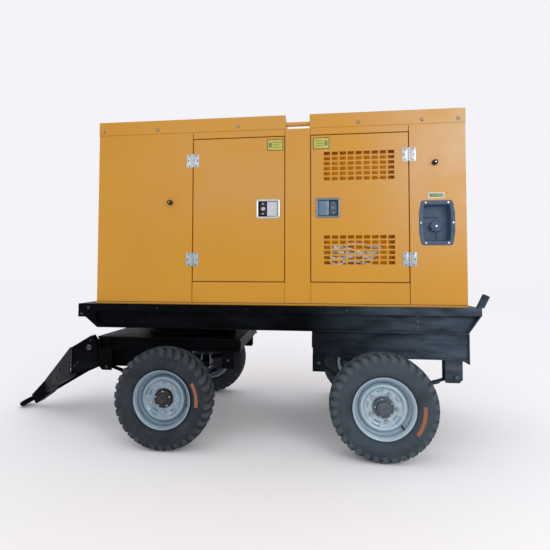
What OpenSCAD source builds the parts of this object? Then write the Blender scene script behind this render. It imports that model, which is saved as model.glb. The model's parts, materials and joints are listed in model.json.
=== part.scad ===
// Towable diesel generator: a silent canopy with its generator set on a four-wheel drawbar trailer.
// Millimetres, +Z up, -X towards the tow eye. The origin is on the ground, under the middle of the
// whole machine. "Near" is the -Y side, with the fuel filler, and "far" is the +Y side.

/* [Running gear] */
// Distance between the front and rear axles
wheelbase = 1650; // [1500:10:1900]
// Distance between the middles of the left and right tyres
track = 1500; // [1480:10:1560]
// Outside diameter of the tyres
tyre_od = 775; // [760:5:790]
// Width of the tyre section
tyre_w = 196; // [180:2:205]
// Outside diameter of the rim flange
rim_od = 450; // [446:1:456]
// Pitch circle of the five wheel studs
stud_pcd = 203; // [195:1:215]
// Distance from the front axle to the tip of the tow eye
drawbar_reach = 1790; // [1780:5:1820]
// Distance from the rear axle to the tip of the rear stakes
tail_reach = 830; // [800:5:860]

/* [Deck] */
// Length of the trailer deck
deck_l = 3260; // [3240:10:3280]
// Width of the trailer deck
deck_w = 1160; // [1150:5:1200]
// Height of the deck's top face above the ground
deck_top = 1092; // [1088:1:1100]
// Height of the outer rail
rail_h = 62; // [56:1:70]
// Height of the sill channel under the rail
sill_h = 137; // [130:1:145]
// Distance from the rear axle to the deck's rear end
deck_rear = 771; // [760:1:780]

/* [Canopy] */
// Length of the canopy
canopy_l = 3022; // [3000:2:3040]
// Width of the canopy
canopy_w = 1100; // [1090:5:1110]
// Height of the canopy above the deck, roof caps included
canopy_h = 1563; // [1540:1:1600]
// Distance from the rear axle to the canopy's rear end
canopy_rear = 682; // [675:1:690]
// Thickness of a wall: sheet, frame and acoustic lining
wall_t = 30; // [28:1:34]
// Height of the raised roof caps
cap_h = 115; // [105:1:120]

/* [Doors] */
// Width of each door
door_w = 765; // [750:1:770]
// Height of each door
door_h = 1190; // [1180:1:1200]
// Gap around each door
door_gap = 8; // [6:1:9]
// Width of the pillar between the doors
pillar_w = 202; // [196:1:210]
// Distance of the pillar's middle in front of the rear axle
pillar_in = 625; // [620:1:630]
// Height of the doors' bottom edge above the deck
door_rise = 195; // [190:1:200]
// Size of the latch dish along the door
latch_w = 190; // [180:1:200]
// Height of the latch dish
latch_h = 155; // [150:1:165]

/* [Vents] */
// Width of one vent slot
slot_w = 50; // [44:1:54]
// Height of one vent slot
slot_h = 28; // [24:1:31]
// Slots along a vent
slot_cols = 9; // [6:1:9]
// Slots up a vent
slot_rows = 6; // [4:1:6]

/* [Drawbar] */
// Half the distance between the drawbar's two hinges
hinge_y = 500; // [490:1:505]
// Height of the drawbar hinge above the ground
drawbar_z = 715; // [710:1:720]
// Bore of the tow eye
eye_bore = 50; // [40:1:54]

/* [Hidden] */
$fn = 40;

orange = [0.83, 0.55, 0.13];
black = [0.10, 0.11, 0.12];
zinc = [0.66, 0.68, 0.70];
rubber = [0.13, 0.13, 0.14];
rim_grey = [0.60, 0.66, 0.70];

// Places along the machine
axle_r_x = (wheelbase + drawbar_reach - tail_reach) / 2;
axle_f_x = axle_r_x - wheelbase;
deck_x1 = axle_r_x + deck_rear;
deck_x0 = deck_x1 - deck_l;
can_x1 = axle_r_x + canopy_rear;
can_x0 = can_x1 - canopy_l;
half_w = canopy_w / 2;
half_deck = deck_w / 2;
pillar_x = axle_r_x - pillar_in;
rail_z = deck_top - rail_h;
sill_z = rail_z - sill_h;
roof_z = deck_top + canopy_h - cap_h;
top_z = deck_top + canopy_h;
door_z = deck_top + door_rise;
door_x = pillar_w / 2 + door_gap;

// Running gear
wheel_z = tyre_od / 2;
half_track = track / 2;
beam = 64;
spindle_r = 22.5;
run = 0.06;
spring_y = 505;
spring_w = 60;
spring_in = 456;
spring_out = 587;
eye_in_z = 640;
eye_out_z = 560;
leaf_t = 8;
leaf_step = 8.5;
leaf_n = 4;
spring_z = wheel_z + beam / 2 + leaf_step * (leaf_n - 0.5);
pin_r = 12;
sub_z = 688;
beam_z0 = 703;
beam_z1 = 803;
bogie_f = axle_f_x - 681;
bogie_r = axle_f_x + 552;
ring_z0 = beam_z1 + 8;
ring_h = 30;

side_drop = 158;
side_l = 440;
front_turn = 54;
rear_turn = 66;

// Drawbar
pivot_x = axle_f_x - 760;
eye_tilt = 30;
eye_r = 57;
eye_wire = 22;
eye_t = 30;
eye_x = axle_f_x - drawbar_reach + eye_r * cos(eye_tilt) + eye_wire;
eye_z = eye_r * sin(eye_tilt) + eye_wire + 2;
db_pin_r = 15;

// Doors
door_t = 28;
leaf_w = 53;
leaf_plate = 3;
hinge_h = 112;
barrel_r = 6.5;
hinge_drop = 180;
latch_in = 134;
latch_d = 20;
paddle_t = 5;
slot_dx = slot_w + 13;
slot_dz = slot_h + 13;
vent_in = 385;
vent_off = 340;

// Axis-aligned block from its low corner to its high corner
module block(lo, hi) {
    translate(lo)
        cube(hi - lo);
}

// Cylinder along Y with its middle at the given point
module rod_y(p, r, l) {
    translate(p)
        rotate([90, 0, 0])
            cylinder(h = l, r = r, center = true);
}

// Cylinder along X with its middle at the given point
module rod_x(p, r, l) {
    translate(p)
        rotate([0, 90, 0])
            cylinder(h = l, r = r, center = true);
}

// Outline in the X-Z plane, given a thickness along Y from y0 to y1
module side_plate(points, y0, y1) {
    translate([0, y1, 0])
        rotate([90, 0, 0])
            linear_extrude(y1 - y0)
                polygon(points);
}

// The child on the near side and its mirror image on the far side
module both_sides() {
    children();
    mirror([0, 1, 0])
        children();
}

// ---------------------------------------------------------------- trailer deck

sill_f = deck_x0 + 173;
sill_r = deck_x1 - 99;
sill_in = 45;

module deck_side() {
    block([deck_x0, -half_deck, rail_z], [deck_x1, 60 - half_deck, deck_top]);
    // sill web, its bottom flange and the slanted closing plate at the rear
    side_plate([[deck_x0 + 45, rail_z], [sill_f - 25, sill_z], [sill_r, sill_z], [deck_x1 - 4, rail_z]],
        sill_in - half_deck, sill_in + 6 - half_deck);
    block([sill_f, 4 - half_deck, sill_z], [sill_r, sill_in - half_deck, sill_z + 8]);
    side_plate([[sill_r - 8, sill_z], [sill_r, sill_z], [deck_x1 - 4, rail_z], [deck_x1 - 14, rail_z]],
        2 - half_deck, sill_in - half_deck);
}

module deck_frame() {
    color(black) {
        both_sides()
            deck_side();
        difference() {
            block([deck_x0, 58 - half_deck, rail_z], [deck_x1, half_deck - 58, deck_top]);
            for (i = [0:4])
                translate([deck_x0 + 60 + i * (deck_l - 60) / 5, 60 - half_deck, rail_z - 1])
                    cube([(deck_l - 60) / 5 - 60, deck_w - 120, rail_h - 3]);
        }
        // cross channels between the sills
        for (x = [sill_f + 80, axle_f_x - 420, axle_f_x + 360, axle_r_x - 560, sill_r - 60])
            block([x, sill_in - half_deck, sill_z], [x + 60, half_deck - sill_in, rail_z]);
    }
}

module gusset() {
    difference() {
        side_plate([[deck_x0, rail_z + 1], [deck_x0, rail_z - 50], [deck_x0 + 66, rail_z - 50],
            [sill_f, sill_z], [sill_f - 22, rail_z + 1]],
            -half_deck, 8 - half_deck);
        block([deck_x0 - 1, -half_deck - 1, rail_z], [sill_f, 9 - half_deck, rail_z + 9]);
    }
    // bolt heads, one on the gusset and one on the rail
    for (p = [[deck_x0 + 34, rail_z - 24], [deck_x0 + 92, rail_z + 28]])
        rod_y([p[0], -half_deck - 3, p[1]], 11, 6);
}

module end_gussets() {
    color(black)
        both_sides()
            gusset();
}

sub_x0 = axle_r_x - 505;
sub_x1 = axle_r_x + 690;

module rear_subframe() {
    color(black) {
        both_sides() {
            block([sub_x0, 45 - half_deck, sub_z], [sub_x1, 53 - half_deck, sill_z]);
            for (z = [sub_z, sill_z - 10])
                block([sub_x0, 30 - half_deck, z], [sub_x1, 100 - half_deck, z + 10]);
        }
        for (x = [sub_x0 + 40, axle_r_x + 30])
            block([x, 52 - half_deck, sub_z + 30], [x + 60, half_deck - 52, sill_z - 10]);
        block([sub_x1 - 8, 30 - half_deck, sub_z - 30], [sub_x1, half_deck - 30, sill_z]);
        block([sub_x1 - 50, 30 - half_deck, sub_z - 8], [sub_x1 - 7, half_deck - 30, sub_z]);
    }
}

stake_w = 42;
stake_l = 118;
stake_lean = 26;
stake_x = axle_r_x + tail_reach - stake_w * cos(stake_lean) - stake_l * sin(stake_lean);

module stake() {
    translate([stake_x, 0, deck_top])
        rotate([0, stake_lean, 0])
            difference() {
                block([0, 2 - half_deck, -20], [stake_w, 42 - half_deck, stake_l]);
                block([4, 6 - half_deck, 12], [stake_w - 4, 38 - half_deck, stake_l + 1]);
            }
}

module lashing_stakes() {
    color(black)
        both_sides()
            intersection() {
                stake();
                block([deck_x1 - 90, -half_deck, deck_top], [axle_r_x + tail_reach, 0, deck_top + stake_l]);
            }
}

// ---------------------------------------------------------------- springs and axles
// Each is drawn for a rear axle at x = 0: its long half, with the low eye, points to +X.

function leaf_rise(x) = x < 0
    ? (eye_in_z - spring_z) * pow(x / spring_in, 2)
    : (eye_out_z - spring_z) * pow(x / spring_out, 2);
function leaf_x(j) = j < 0 ? spring_in * j / 10 : spring_out * j / 10;

module leaf(i) {
    n = 10 - 2 * i;
    z = spring_z - i * leaf_step;
    top = [for (j = [-n:n]) [leaf_x(j), z + leaf_rise(leaf_x(j)) + leaf_t / 2]];
    low = [for (j = [n:-1:-n]) [leaf_x(j), z + leaf_rise(leaf_x(j)) - leaf_t / 2]];
    side_plate(concat(top, low), -spring_y - spring_w / 2, -spring_y + spring_w / 2);
}

module leaf_spring() {
    difference() {
        union() {
            leaf(0);
            rod_y([-spring_in, -spring_y, eye_in_z], 20, spring_w);
            rod_y([spring_out, -spring_y, eye_out_z], 20, spring_w);
        }
        rod_y([-spring_in, -spring_y, eye_in_z], pin_r + run, spring_w + 2);
        rod_y([spring_out, -spring_y, eye_out_z], pin_r + run, spring_w + 2);
    }
    for (i = [1:leaf_n - 1])
        leaf(i);
}

// Bracket of two plates and a top plate around one spring eye, with its pin. It reaches lo towards -X,
// hi towards +X and foot below the pin; its lower corner on the open side is cut off.
module hanger(x, z, top, lo, hi, foot, cut) {
    for (s = [-1, 1])
        translate([0, -spring_y + s * (spring_w / 2 + 5), 0])
            rotate([90, 0, 0])
                linear_extrude(8, center = true)
                    difference() {
                        polygon([[x - lo, top - 8], [x - lo, z - foot], [x + hi - cut, z - foot],
                            [x + hi, z - foot + cut], [x + hi, top - 8]]);
                        translate([x, z])
                            circle(r = pin_r + run);
                    }
    block([x - lo, -spring_y - spring_w / 2 - 9, top - 8], [x + hi, -spring_y + spring_w / 2 + 9, top]);
    rod_y([x, -spring_y, z], pin_r, spring_w + 22);
    rod_y([x, -spring_y - spring_w / 2 - 15, z], 17, 10);
}

module hangers(top, lo, hi, foot) {
    both_sides() {
        hanger(-spring_in, eye_in_z, top, 50, 50, 70, 1);
        hanger(spring_out, eye_out_z, top, lo, hi, foot, 26);
    }
}

module axle_beam() {
    block([-beam / 2, -spring_y - 70, wheel_z - beam / 2], [beam / 2, spring_y + 70, wheel_z + beam / 2]);
    both_sides()
        rod_y([0, -(spring_y + 60 + half_track + 42) / 2, wheel_z], spindle_r, half_track - spring_y - 18);
}

module u_bolts() {
    both_sides()
        for (x = [-45, 45]) {
            for (y = [-38, 38])
                block([x - 6, y - spring_y - 6, wheel_z - beam / 2 - 30],
                    [x + 6, y - spring_y + 6, spring_z + leaf_t + 14]);
            block([x - 6, -spring_y - 44, spring_z + leaf_t + 2],
                [x + 6, -spring_y + 44, spring_z + leaf_t + 14]);
        }
    both_sides()
        difference() {
            block([-62, -spring_y - 52, wheel_z - beam / 2 - 12], [62, -spring_y + 52, wheel_z - beam / 2]);
            for (x = [-45, 45])
                for (y = [-38, 38])
                    translate([x, y - spring_y, wheel_z - beam / 2 - 13])
                        cube([12, 12, 60], center = true);
        }
}

module at_rear() {
    translate([axle_r_x, 0, 0])
        children();
}

module at_front() {
    translate([axle_f_x, 0, 0])
        mirror([1, 0, 0])
            children();
}

module rear_hangers() {
    color(black)
        at_rear()
            hangers(sub_z, 78, 50, 46);
}

module rear_springs() {
    color(black)
        at_rear()
            both_sides()
                leaf_spring();
}

module rear_axle() {
    color(black)
        at_rear()
            axle_beam();
}

module rear_u_bolts() {
    color(zinc)
        at_rear()
            u_bolts();
}

module front_hangers() {
    color(black)
        at_front()
            hangers(beam_z0, 36, 74, 32);
}

module front_springs() {
    color(black)
        at_front()
            both_sides()
                leaf_spring();
}

module front_axle() {
    color(black)
        at_front()
            axle_beam();
}

module front_u_bolts() {
    color(zinc)
        at_front()
            u_bolts();
}

// ---------------------------------------------------------------- turntable and steering frame

module upper_bolster() {
    color(black)
        translate([axle_f_x, 0, 0]) {
            translate([0, 0, sill_z - 16])
                cylinder(h = 16, r = 430);
            difference() {
                translate([0, 0, ring_z0 + ring_h + 1])
                    cylinder(h = sill_z - 16 - ring_z0 - ring_h - 1, r = 400);
                translate([0, 0, ring_z0])
                    cylinder(h = sill_z, r = 340);
            }
        }
}

module turntable_ring() {
    color(black)
        translate([axle_f_x, 0, ring_z0])
            difference() {
                cylinder(h = ring_h, r = 410);
                translate([0, 0, -1])
                    cylinder(h = ring_h + 2, r = 340);
            }
}

module bogie_side() {
    // channel open outwards
    block([bogie_f, -488, beam_z0], [bogie_r, -480, beam_z1]);
    for (z = [beam_z0, beam_z1 - 9])
        block([bogie_f, -534, z], [bogie_r, -480, z + 9]);
    for (x = [bogie_f + 2, bogie_f + 96, bogie_r - 60])
        block([x, -530, beam_z0 + 8], [x + 8, -486, beam_z1 - 8]);
    // plate under the channel, inside the spring
    block([bogie_f + 16, -461, beam_z0 - side_drop], [bogie_f + side_l, -453, beam_z0 + 1]);
    // hinge ear that reaches into the drawbar's root
    difference() {
        union() {
            block([pivot_x, -hinge_y - 14, drawbar_z - 34], [bogie_f + 18, -hinge_y + 14, drawbar_z + 34]);
            rod_y([pivot_x, -hinge_y, drawbar_z], 34, 28);
        }
        rod_y([pivot_x, -hinge_y, drawbar_z], db_pin_r + run, 30);
    }
}

module bogie_frame() {
    color(black) {
        both_sides()
            bogie_side();
        // cross channels, the deep front one stopping the drawbar's heels
        block([bogie_f, -481, beam_z0], [bogie_f + 60, 481, beam_z1]);
        block([bogie_f + 8, -534, beam_z0 - 118], [bogie_f + 16, 534, beam_z0]);
        for (x = [axle_f_x - 400, axle_f_x + 300, bogie_r - 60])
            block([x, -481, beam_z0 + 10], [x + 60, 481, beam_z1]);
        difference() {
            block([bogie_f, -534, beam_z1], [bogie_r, 534, beam_z1 + 8]);
            translate([axle_f_x, 0, 0])
                cylinder(h = 2 * beam_z1, r = 250);
        }
    }
}

// ---------------------------------------------------------------- drawbar

knee_x = pivot_x - 165;
apex_x = pivot_x - 695;
apex_y = 62;
arm_w = 66;
arm_plan = atan((hinge_y - apex_y) / (knee_x - apex_x));
arm_l = (knee_x - apex_x) / cos(arm_plan);

// Root of an arm: two plates around the bogie's ear, with a heel that rests on the steering frame
root_outline = [[70, 25], [15, 100], [-165, -6], [-165, -230], [-10, -183], [74, -166]];

module arm_root() {
    difference() {
        translate([pivot_x, -hinge_y, drawbar_z])
            side_plate(root_outline, -arm_w / 2, arm_w / 2);
        translate([pivot_x, -hinge_y, drawbar_z])
            side_plate([[90, 110], [-120, 110], [-120, -120], [40, -120], [90, -90]], -17, 17);
        rod_y([pivot_x, -hinge_y, drawbar_z], db_pin_r, arm_w + 2);
    }
}

// Tapered box arm from the knee to the nose, turned in plan towards the middle
module arm_beam() {
    translate([knee_x, -hinge_y, drawbar_z])
        rotate([0, 0, -arm_plan])
            difference() {
                side_plate([[12, -6], [-arm_l, -416], [-arm_l, -552], [-400, -408], [-150, -322], [12, -238]],
                    -arm_w / 2, arm_w / 2);
                side_plate([[-30, -46], [20 - arm_l, -420], [20 - arm_l, -532], [-400, -397], [-150, -311],
                    [-30, -250]], 7 - arm_w / 2, arm_w / 2 - 7);
            }
}

nose_w = 124;
nose_outline = [[-500, -330], [-676, -366], [-879, -583], [-832, -668], [-715, -585], [-640, -503],
    [-548, -449], [-494, -392], [-440, -368]];

module drawbar() {
    color(black) {
        both_sides()
            intersection() {
                union() {
                    arm_root();
                    arm_beam();
                }
                block([-5000, -hinge_y - 60, 0], [5000, 0, 2000]);
            }
        // cross tube, and the nose beam that carries the eye
        rod_y([knee_x - 190, 0, drawbar_z - 245], 32, 2 * (hinge_y - 135));
        difference() {
            translate([pivot_x, 0, drawbar_z])
                side_plate(nose_outline, -nose_w / 2, nose_w / 2);
            eye_shank();
        }
    }
}

module eye_shank() {
    translate([eye_x, 0, eye_z])
        rotate([0, 90 - eye_tilt, 0])
            translate([0, 0, eye_r + 4])
                cylinder(h = 120, r = 19);
}

module tow_eye() {
    color(black)
        difference() {
            union() {
                translate([eye_x, 0, eye_z])
                    rotate([0, -eye_tilt, 0]) {
                        rotate_extrude()
                            translate([eye_r, 0])
                                circle(r = eye_wire);
                        cylinder(h = eye_t, r = eye_r - 6, center = true);
                    }
                eye_shank();
            }
            translate([eye_x, 0, eye_z])
                rotate([0, -eye_tilt, 0])
                    cylinder(h = 2 * eye_t, r = eye_bore / 2, center = true);
        }
}

module drawbar_pins() {
    color(zinc)
        both_sides() {
            rod_y([pivot_x, -hinge_y, drawbar_z], db_pin_r, arm_w + 20);
            rod_y([pivot_x, -hinge_y - arm_w / 2 - 6, drawbar_z], 21, 10);
        }
}

// ---------------------------------------------------------------- wheels
// Each is drawn round the Z axis with its outer side up, then laid on its axle.

module on_axle(x, side) {
    translate([x, side * half_track, wheel_z])
        rotate([-90 * side, 0, 0])
            children();
}

module tyre(x, side) {
    r = tyre_od / 2;
    w = tyre_w / 2;
    bead = rim_od / 2 - 18;
    color(rubber)
        on_axle(x, side)
            rotate_extrude()
                difference() {
                    polygon([[bead, -64], [bead + 21, -65], [bead + 40, -w + 10], [r - 92, -w],
                        [r - 50, -w + 4], [r - 14, -w + 20], [r - 2, -w + 38], [r, -w + 60], [r, w - 60], [r - 2, w - 38],
                        [r - 14, w - 20], [r - 50, w - 4], [r - 92, w], [bead + 40, w - 10], [bead + 21, 65],
                        [bead, 64]]);
                    polygon([[bead - 1, -46], [bead + 34, -w + 24], [r - 80, -w + 14], [r - 34, -w + 34],
                        [r - 26, 0], [r - 34, w - 34], [r - 80, w - 14], [bead + 34, w - 24],
                        [bead - 1, 46]]);
                }
}

// The studs stand at the given angle and every 72 degrees from it
module rim(x, side, turn) {
    r = rim_od / 2;
    color(rim_grey)
        on_axle(x, side)
            difference() {
                rotate_extrude() {
                    // barrel with its flanges, bead seats and drop well
                    polygon([[r, -73], [r, -79], [r - 6, -79], [r - 20, -70], [r - 24, -34], [r - 52, -22],
                        [r - 52, 12], [r - 30, 34], [r - 24, 70], [r - 6, 79], [r, 79], [r, 73], [r - 4, 72],
                        [r - 18.5, 66], [r - 18.5, 34], [r - 46, 8], [r - 46, -18], [r - 18.5, -32],
                        [r - 18.5, -66], [r - 4, -72]]);
                    // dished disc
                    polygon([[75, 20], [75, 27], [126, 27], [150, 42], [162, 42], [r - 46, 20], [r - 46, 6],
                        [r - 52, 6], [160, 34], [152, 34], [128, 20]]);
                }
                for (a = [0:4])
                    rotate(a * 72 + turn)
                        translate([stud_pcd / 2, 0, 0])
                            cylinder(h = 60, r = 9.5);
            }
}

// Hub with its flange, studs, nuts and cap; the rear ones carry the larger cap
module hub(x, side, turn, nose_r, cap_r, cap_l) {
    color(black)
        on_axle(x, side) {
            difference() {
                union() {
                    translate([0, 0, -70])
                        cylinder(h = 130, r = 48);
                    translate([0, 0, 6])
                        cylinder(h = 14, r = 118);
                    translate([0, 0, 19])
                        cylinder(h = 30, r = min(nose_r, 74.6));
                    translate([0, 0, 48])
                        cylinder(h = cap_l, r = cap_r);
                }
                translate([0, 0, -80])
                    cylinder(h = 125, r = spindle_r + run);
            }
            for (a = [0:4])
                rotate(a * 72 + turn)
                    translate([stud_pcd / 2, 0, 0]) {
                        translate([0, 0, 19])
                            cylinder(h = 34, r = 8);
                        translate([0, 0, 27.2])
                            cylinder(h = 17, r = 14.5, $fn = 6);
                    }
        }
}

module tyre_front_near() { tyre(axle_f_x, -1); }
module tyre_front_far() { tyre(axle_f_x, 1); }
module tyre_rear_near() { tyre(axle_r_x, -1); }
module tyre_rear_far() { tyre(axle_r_x, 1); }
module rim_front_near() { rim(axle_f_x, -1, front_turn); }
module rim_front_far() { rim(axle_f_x, 1, front_turn); }
module rim_rear_near() { rim(axle_r_x, -1, rear_turn); }
module rim_rear_far() { rim(axle_r_x, 1, rear_turn); }
module hub_front_near() { hub(axle_f_x, -1, front_turn, 68, 46, 16); }
module hub_front_far() { hub(axle_f_x, 1, front_turn, 68, 46, 16); }
module hub_rear_near() { hub(axle_r_x, -1, rear_turn, 74.6, 52, 28); }
module hub_rear_far() { hub(axle_r_x, 1, rear_turn, 74.6, 52, 28); }

// ---------------------------------------------------------------- canopy

// Moves a door drawn from its hinge edge at the origin to one of the four openings
module at_door(rear, side) {
    mirror([0, side > 0 ? 1 : 0, 0])
        translate([pillar_x, -half_w, door_z])
            mirror([rear ? 0 : 1, 0, 0])
                translate([door_x + door_w, 0, 0])
                    mirror([1, 0, 0])
                        children();
}

filler_x = axle_r_x + 460;
filler_z = deck_top + 660;

module canopy_side(filler) {
    difference() {
        block([can_x0, -half_w, deck_top], [can_x1, -half_w + wall_t, roof_z]);
        for (rear = [false, true])
            at_door(rear, -1)
                block([-door_gap, -1, -door_gap], [door_w + door_gap, wall_t + 1, door_h + door_gap]);
        // seams between the welded panels
        for (s = [-1, 1])
            for (d = [door_x - door_gap / 2, door_x + door_w + door_gap / 2])
                block([pillar_x + s * d - 3, -half_w - 1, deck_top + 8],
                    [pillar_x + s * d + 3, -half_w + 5, roof_z - 8]);
        if (filler)
            block([filler_x - 110, -half_w - 1, filler_z - 152],
                [filler_x + 110, -half_w + wall_t + 1, filler_z + 152]);
    }
    // door frames with their stop lips
    for (rear = [false, true])
        at_door(rear, -1)
            difference() {
                block([-30, wall_t - 0.1, -30], [door_w + 30, wall_t + 12, door_h + 30]);
                block([26, wall_t - 1, 26], [door_w - 26, wall_t + 13, door_h - 26]);
            }
}

module canopy_side_near() {
    color(orange)
        canopy_side(true);
}

module canopy_side_far() {
    color(orange)
        mirror([0, 1, 0])
            canopy_side(false);
}

// End wall with a framed opening and slanted louvre blades
module end_wall(x0, x1, z0, z1, half_open) {
    difference() {
        block([x0, wall_t - half_w, deck_top], [x1, half_w - wall_t, roof_z]);
        block([x0 - 1, -half_open, z0], [x1 + 1, half_open, z1]);
    }
    n = floor((z1 - z0) / 50);
    for (i = [0:n - 1])
        translate([(x0 + x1) / 2, 0, z0 + (i + 0.5) * (z1 - z0) / n])
            rotate([0, x0 < 0 ? -40 : 40, 0])
                cube([30, 2 * half_open + 2, 3], center = true);
}

module canopy_front_end() {
    color(orange)
        end_wall(can_x0, can_x0 + wall_t, deck_top + 300, roof_z - 150, 400);
}

module canopy_rear_end() {
    color(orange)
        difference() {
            end_wall(can_x1 - wall_t, can_x1, deck_top + 260, deck_top + 720, 360);
            // window in front of the control panel
            block([can_x1 - wall_t - 1, -210, deck_top + 900], [can_x1 + 1, 210, deck_top + 1220]);
        }
}

module roof_panel() {
    color(orange)
        block([can_x0 + wall_t, wall_t - half_w, roof_z - 30], [can_x1 - wall_t, half_w - wall_t, roof_z]);
}

cap_split = 98;

module roof_cap(x0, x1) {
    difference() {
        block([x0, -half_w - 3, roof_z], [x1, half_w + 3, top_z]);
        block([x0 + 4, 1 - half_w, roof_z - 1], [x1 - 4, half_w - 1, top_z - 4]);
    }
}

module roof_cap_front() {
    color(orange)
        difference() {
            roof_cap(can_x0 - 3, pillar_x - cap_split);
            lifting_bores();
        }
}

module roof_cap_rear() {
    color(orange)
        difference() {
            roof_cap(pillar_x + cap_split, can_x1 + 3);
            lifting_bores();
        }
}

bar_r = 18;
bar_z = roof_z + 46;

module lifting_bores() {
    both_sides()
        rod_x([pillar_x, -half_w + 28, bar_z], bar_r + 0.5, 2 * cap_split + 60);
}

module lifting_bars() {
    color(orange)
        both_sides() {
            rod_x([pillar_x, -half_w + 28, bar_z], bar_r, 2 * cap_split + 120);
            for (s = [-1, 1])
                block([pillar_x + s * (cap_split + 40) - 6, -half_w + 6, roof_z],
                    [pillar_x + s * (cap_split + 40) + 6, -half_w + 56, bar_z + 24]);
        }
}

module filler_pan() {
    color(black)
        translate([filler_x, -half_w, filler_z])
            difference() {
                union() {
                    // flange on the panel, widest at mid height
                    side_plate([[-118, -176], [118, -176], [134, -80], [134, 80], [118, 176], [-118, 176],
                        [-134, 80], [-134, -80]], -5, 0);
                    block([-108, -1, -150], [108, 68, 150]);
                    for (p = [[-84, 164], [86, 164], [-124, 0], [124, 0], [-84, -164], [86, -164]])
                        rod_y([p[0], -6, p[1]], 7, 6);
                }
                side_plate([[-96, -140], [96, -140], [104, -60], [104, 60], [96, 140], [-96, 140], [-104, 60],
                    [-104, -60]], -6, 62);
                rod_y([3, 60, -23], 21, 30);
            }
}

module fuel_cap() {
    color(black)
        translate([filler_x + 3, -half_w, filler_z - 23])
            union() {
                rod_y([0, 46, 0], 42, 26);
                rod_y([0, 66, 0], 20.9, 20);
                rod_y([0, 31, 0], 14, 6);
                for (a = [0:7])
                    translate([42 * cos(a * 45), 46, 42 * sin(a * 45)])
                        rotate([90, 0, 0])
                            cylinder(h = 22, r = 5, center = true);
            }
}

// ---------------------------------------------------------------- doors, hinges and latches

module hinge_places() {
    for (z = [hinge_drop, door_h - hinge_drop])
        translate([-door_gap / 2, -barrel_r, z - hinge_h / 2])
            children();
}

// Barrel segments of one hinge: the even ones are fixed, the odd ones turn with the door
module barrel(segments, dir) {
    seg = hinge_h / 5;
    for (i = segments)
        difference() {
            union() {
                translate([0, 0, i * seg + 0.3])
                    cylinder(h = seg - 0.6, r = barrel_r);
                translate([dir > 0 ? 0 : -8, barrel_r - leaf_plate, i * seg + 0.3])
                    cube([8, leaf_plate, seg - 0.6]);
            }
            translate([0, 0, i * seg])
                cylinder(h = seg, r = 3 + run);
        }
    translate([dir > 0 ? 7.5 : -leaf_w, barrel_r - leaf_plate, 0])
        cube([leaf_w - 7.5, leaf_plate, hinge_h]);
}

module vent() {
    for (c = [0:slot_cols - 1])
        for (r = [0:slot_rows - 1])
            translate([(c - (slot_cols - 1) / 2) * slot_dx, 0, (r - (slot_rows - 1) / 2) * slot_dz])
                block([-slot_w / 2, -1, -slot_h / 2], [slot_w / 2, door_t + 1, slot_h / 2]);
}

// Sheet behind a vent, carried on two bent edges, that keeps the noise in
module baffle() {
    block([-300, 42, -145], [300, 45, 145]);
    for (s = [-1, 1])
        block([-300, 0, s * 145 - 1.5], [300, 45, s * 145 + 1.5]);
}

module door(rear, side) {
    color(orange)
        at_door(rear, side) {
            difference() {
                block([0, 0, 0], [door_w, door_t, door_h]);
                block([door_w - latch_in - latch_w / 2 + 14, -1, (door_h - latch_h) / 2 + 14],
                    [door_w - latch_in + latch_w / 2 - 14, latch_d, (door_h + latch_h) / 2 - 14]);
                if (rear)
                    for (s = [-1, 1])
                        translate([vent_in, 0, door_h / 2 + s * vent_off])
                            vent();
            }
            if (rear)
                for (s = side > 0 ? [-1, 1] : [1])
                    translate([vent_in, door_t, door_h / 2 + s * vent_off])
                        baffle();
            hinge_places()
                barrel([1, 3], 1);
        }
}

module door_front_near() { door(false, -1); }
module door_rear_near() { door(true, -1); }
module door_front_far() { door(false, 1); }
module door_rear_far() { door(true, 1); }

module hinge_leaves() {
    color(zinc)
        for (rear = [false, true])
            for (side = [-1, 1])
                at_door(rear, side)
                    hinge_places() {
                        barrel([0, 2, 4], -1);
                        translate([0, 0, 1])
                            cylinder(h = hinge_h - 2, r = 3);
                    }
}

// Sprung paddle of a latch, hinged on the side of the door's free edge
paddle_l = 82;
paddle_x = latch_in - latch_w / 2 + 22;

module latch(rear, side) {
    color(zinc)
        at_door(rear, side)
            translate([door_w - paddle_x, 9, door_h / 2]) {
                cylinder(h = latch_h - 36, r = 4, center = true);
                block([-paddle_l, -6, 18 - latch_h / 2], [2, paddle_t - 6, latch_h / 2 - 18]);
            }
}

module latch_front_near() { latch(false, -1); }
module latch_rear_near() { latch(true, -1); }
module latch_front_far() { latch(false, 1); }
module latch_rear_far() { latch(true, 1); }

module door_buffers() {
    color(rubber)
        for (side = [0, 1])
            mirror([0, side, 0])
                for (p = [[pillar_x - door_x - door_w - 199, door_z + 660],
                    [pillar_x + door_x + door_w + 199, door_z + 940]])
                    translate([p[0], -half_w, p[1]])
                        rotate([90, 0, 0]) {
                            cylinder(h = 30, r = 21);
                            cylinder(h = 36, r = 15);
                        }
}

// ---------------------------------------------------------------- generator set

skid_h = 180;
crank_z = deck_top + 520;
crank_x = pillar_x - 230;
rad_x = can_x0 + 210;
fan_x = rad_x + 162;
fan_z = crank_z + 100;

module base_skid() {
    color(black) {
        both_sides()
            block([can_x0 + 40, -500, deck_top], [can_x1 - 40, -440, deck_top + skid_h]);
        for (x = [can_x0 + 40, crank_x - 900, crank_x - 200, crank_x + 330, can_x1 - 120])
            block([x, -441, deck_top], [x + 80, 441, deck_top + skid_h]);
    }
}

module fuel_tank() {
    color(black)
        block([crank_x + 420, -430, deck_top + 6], [can_x1 - 130, 430, deck_top + skid_h - 14]);
}

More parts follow.
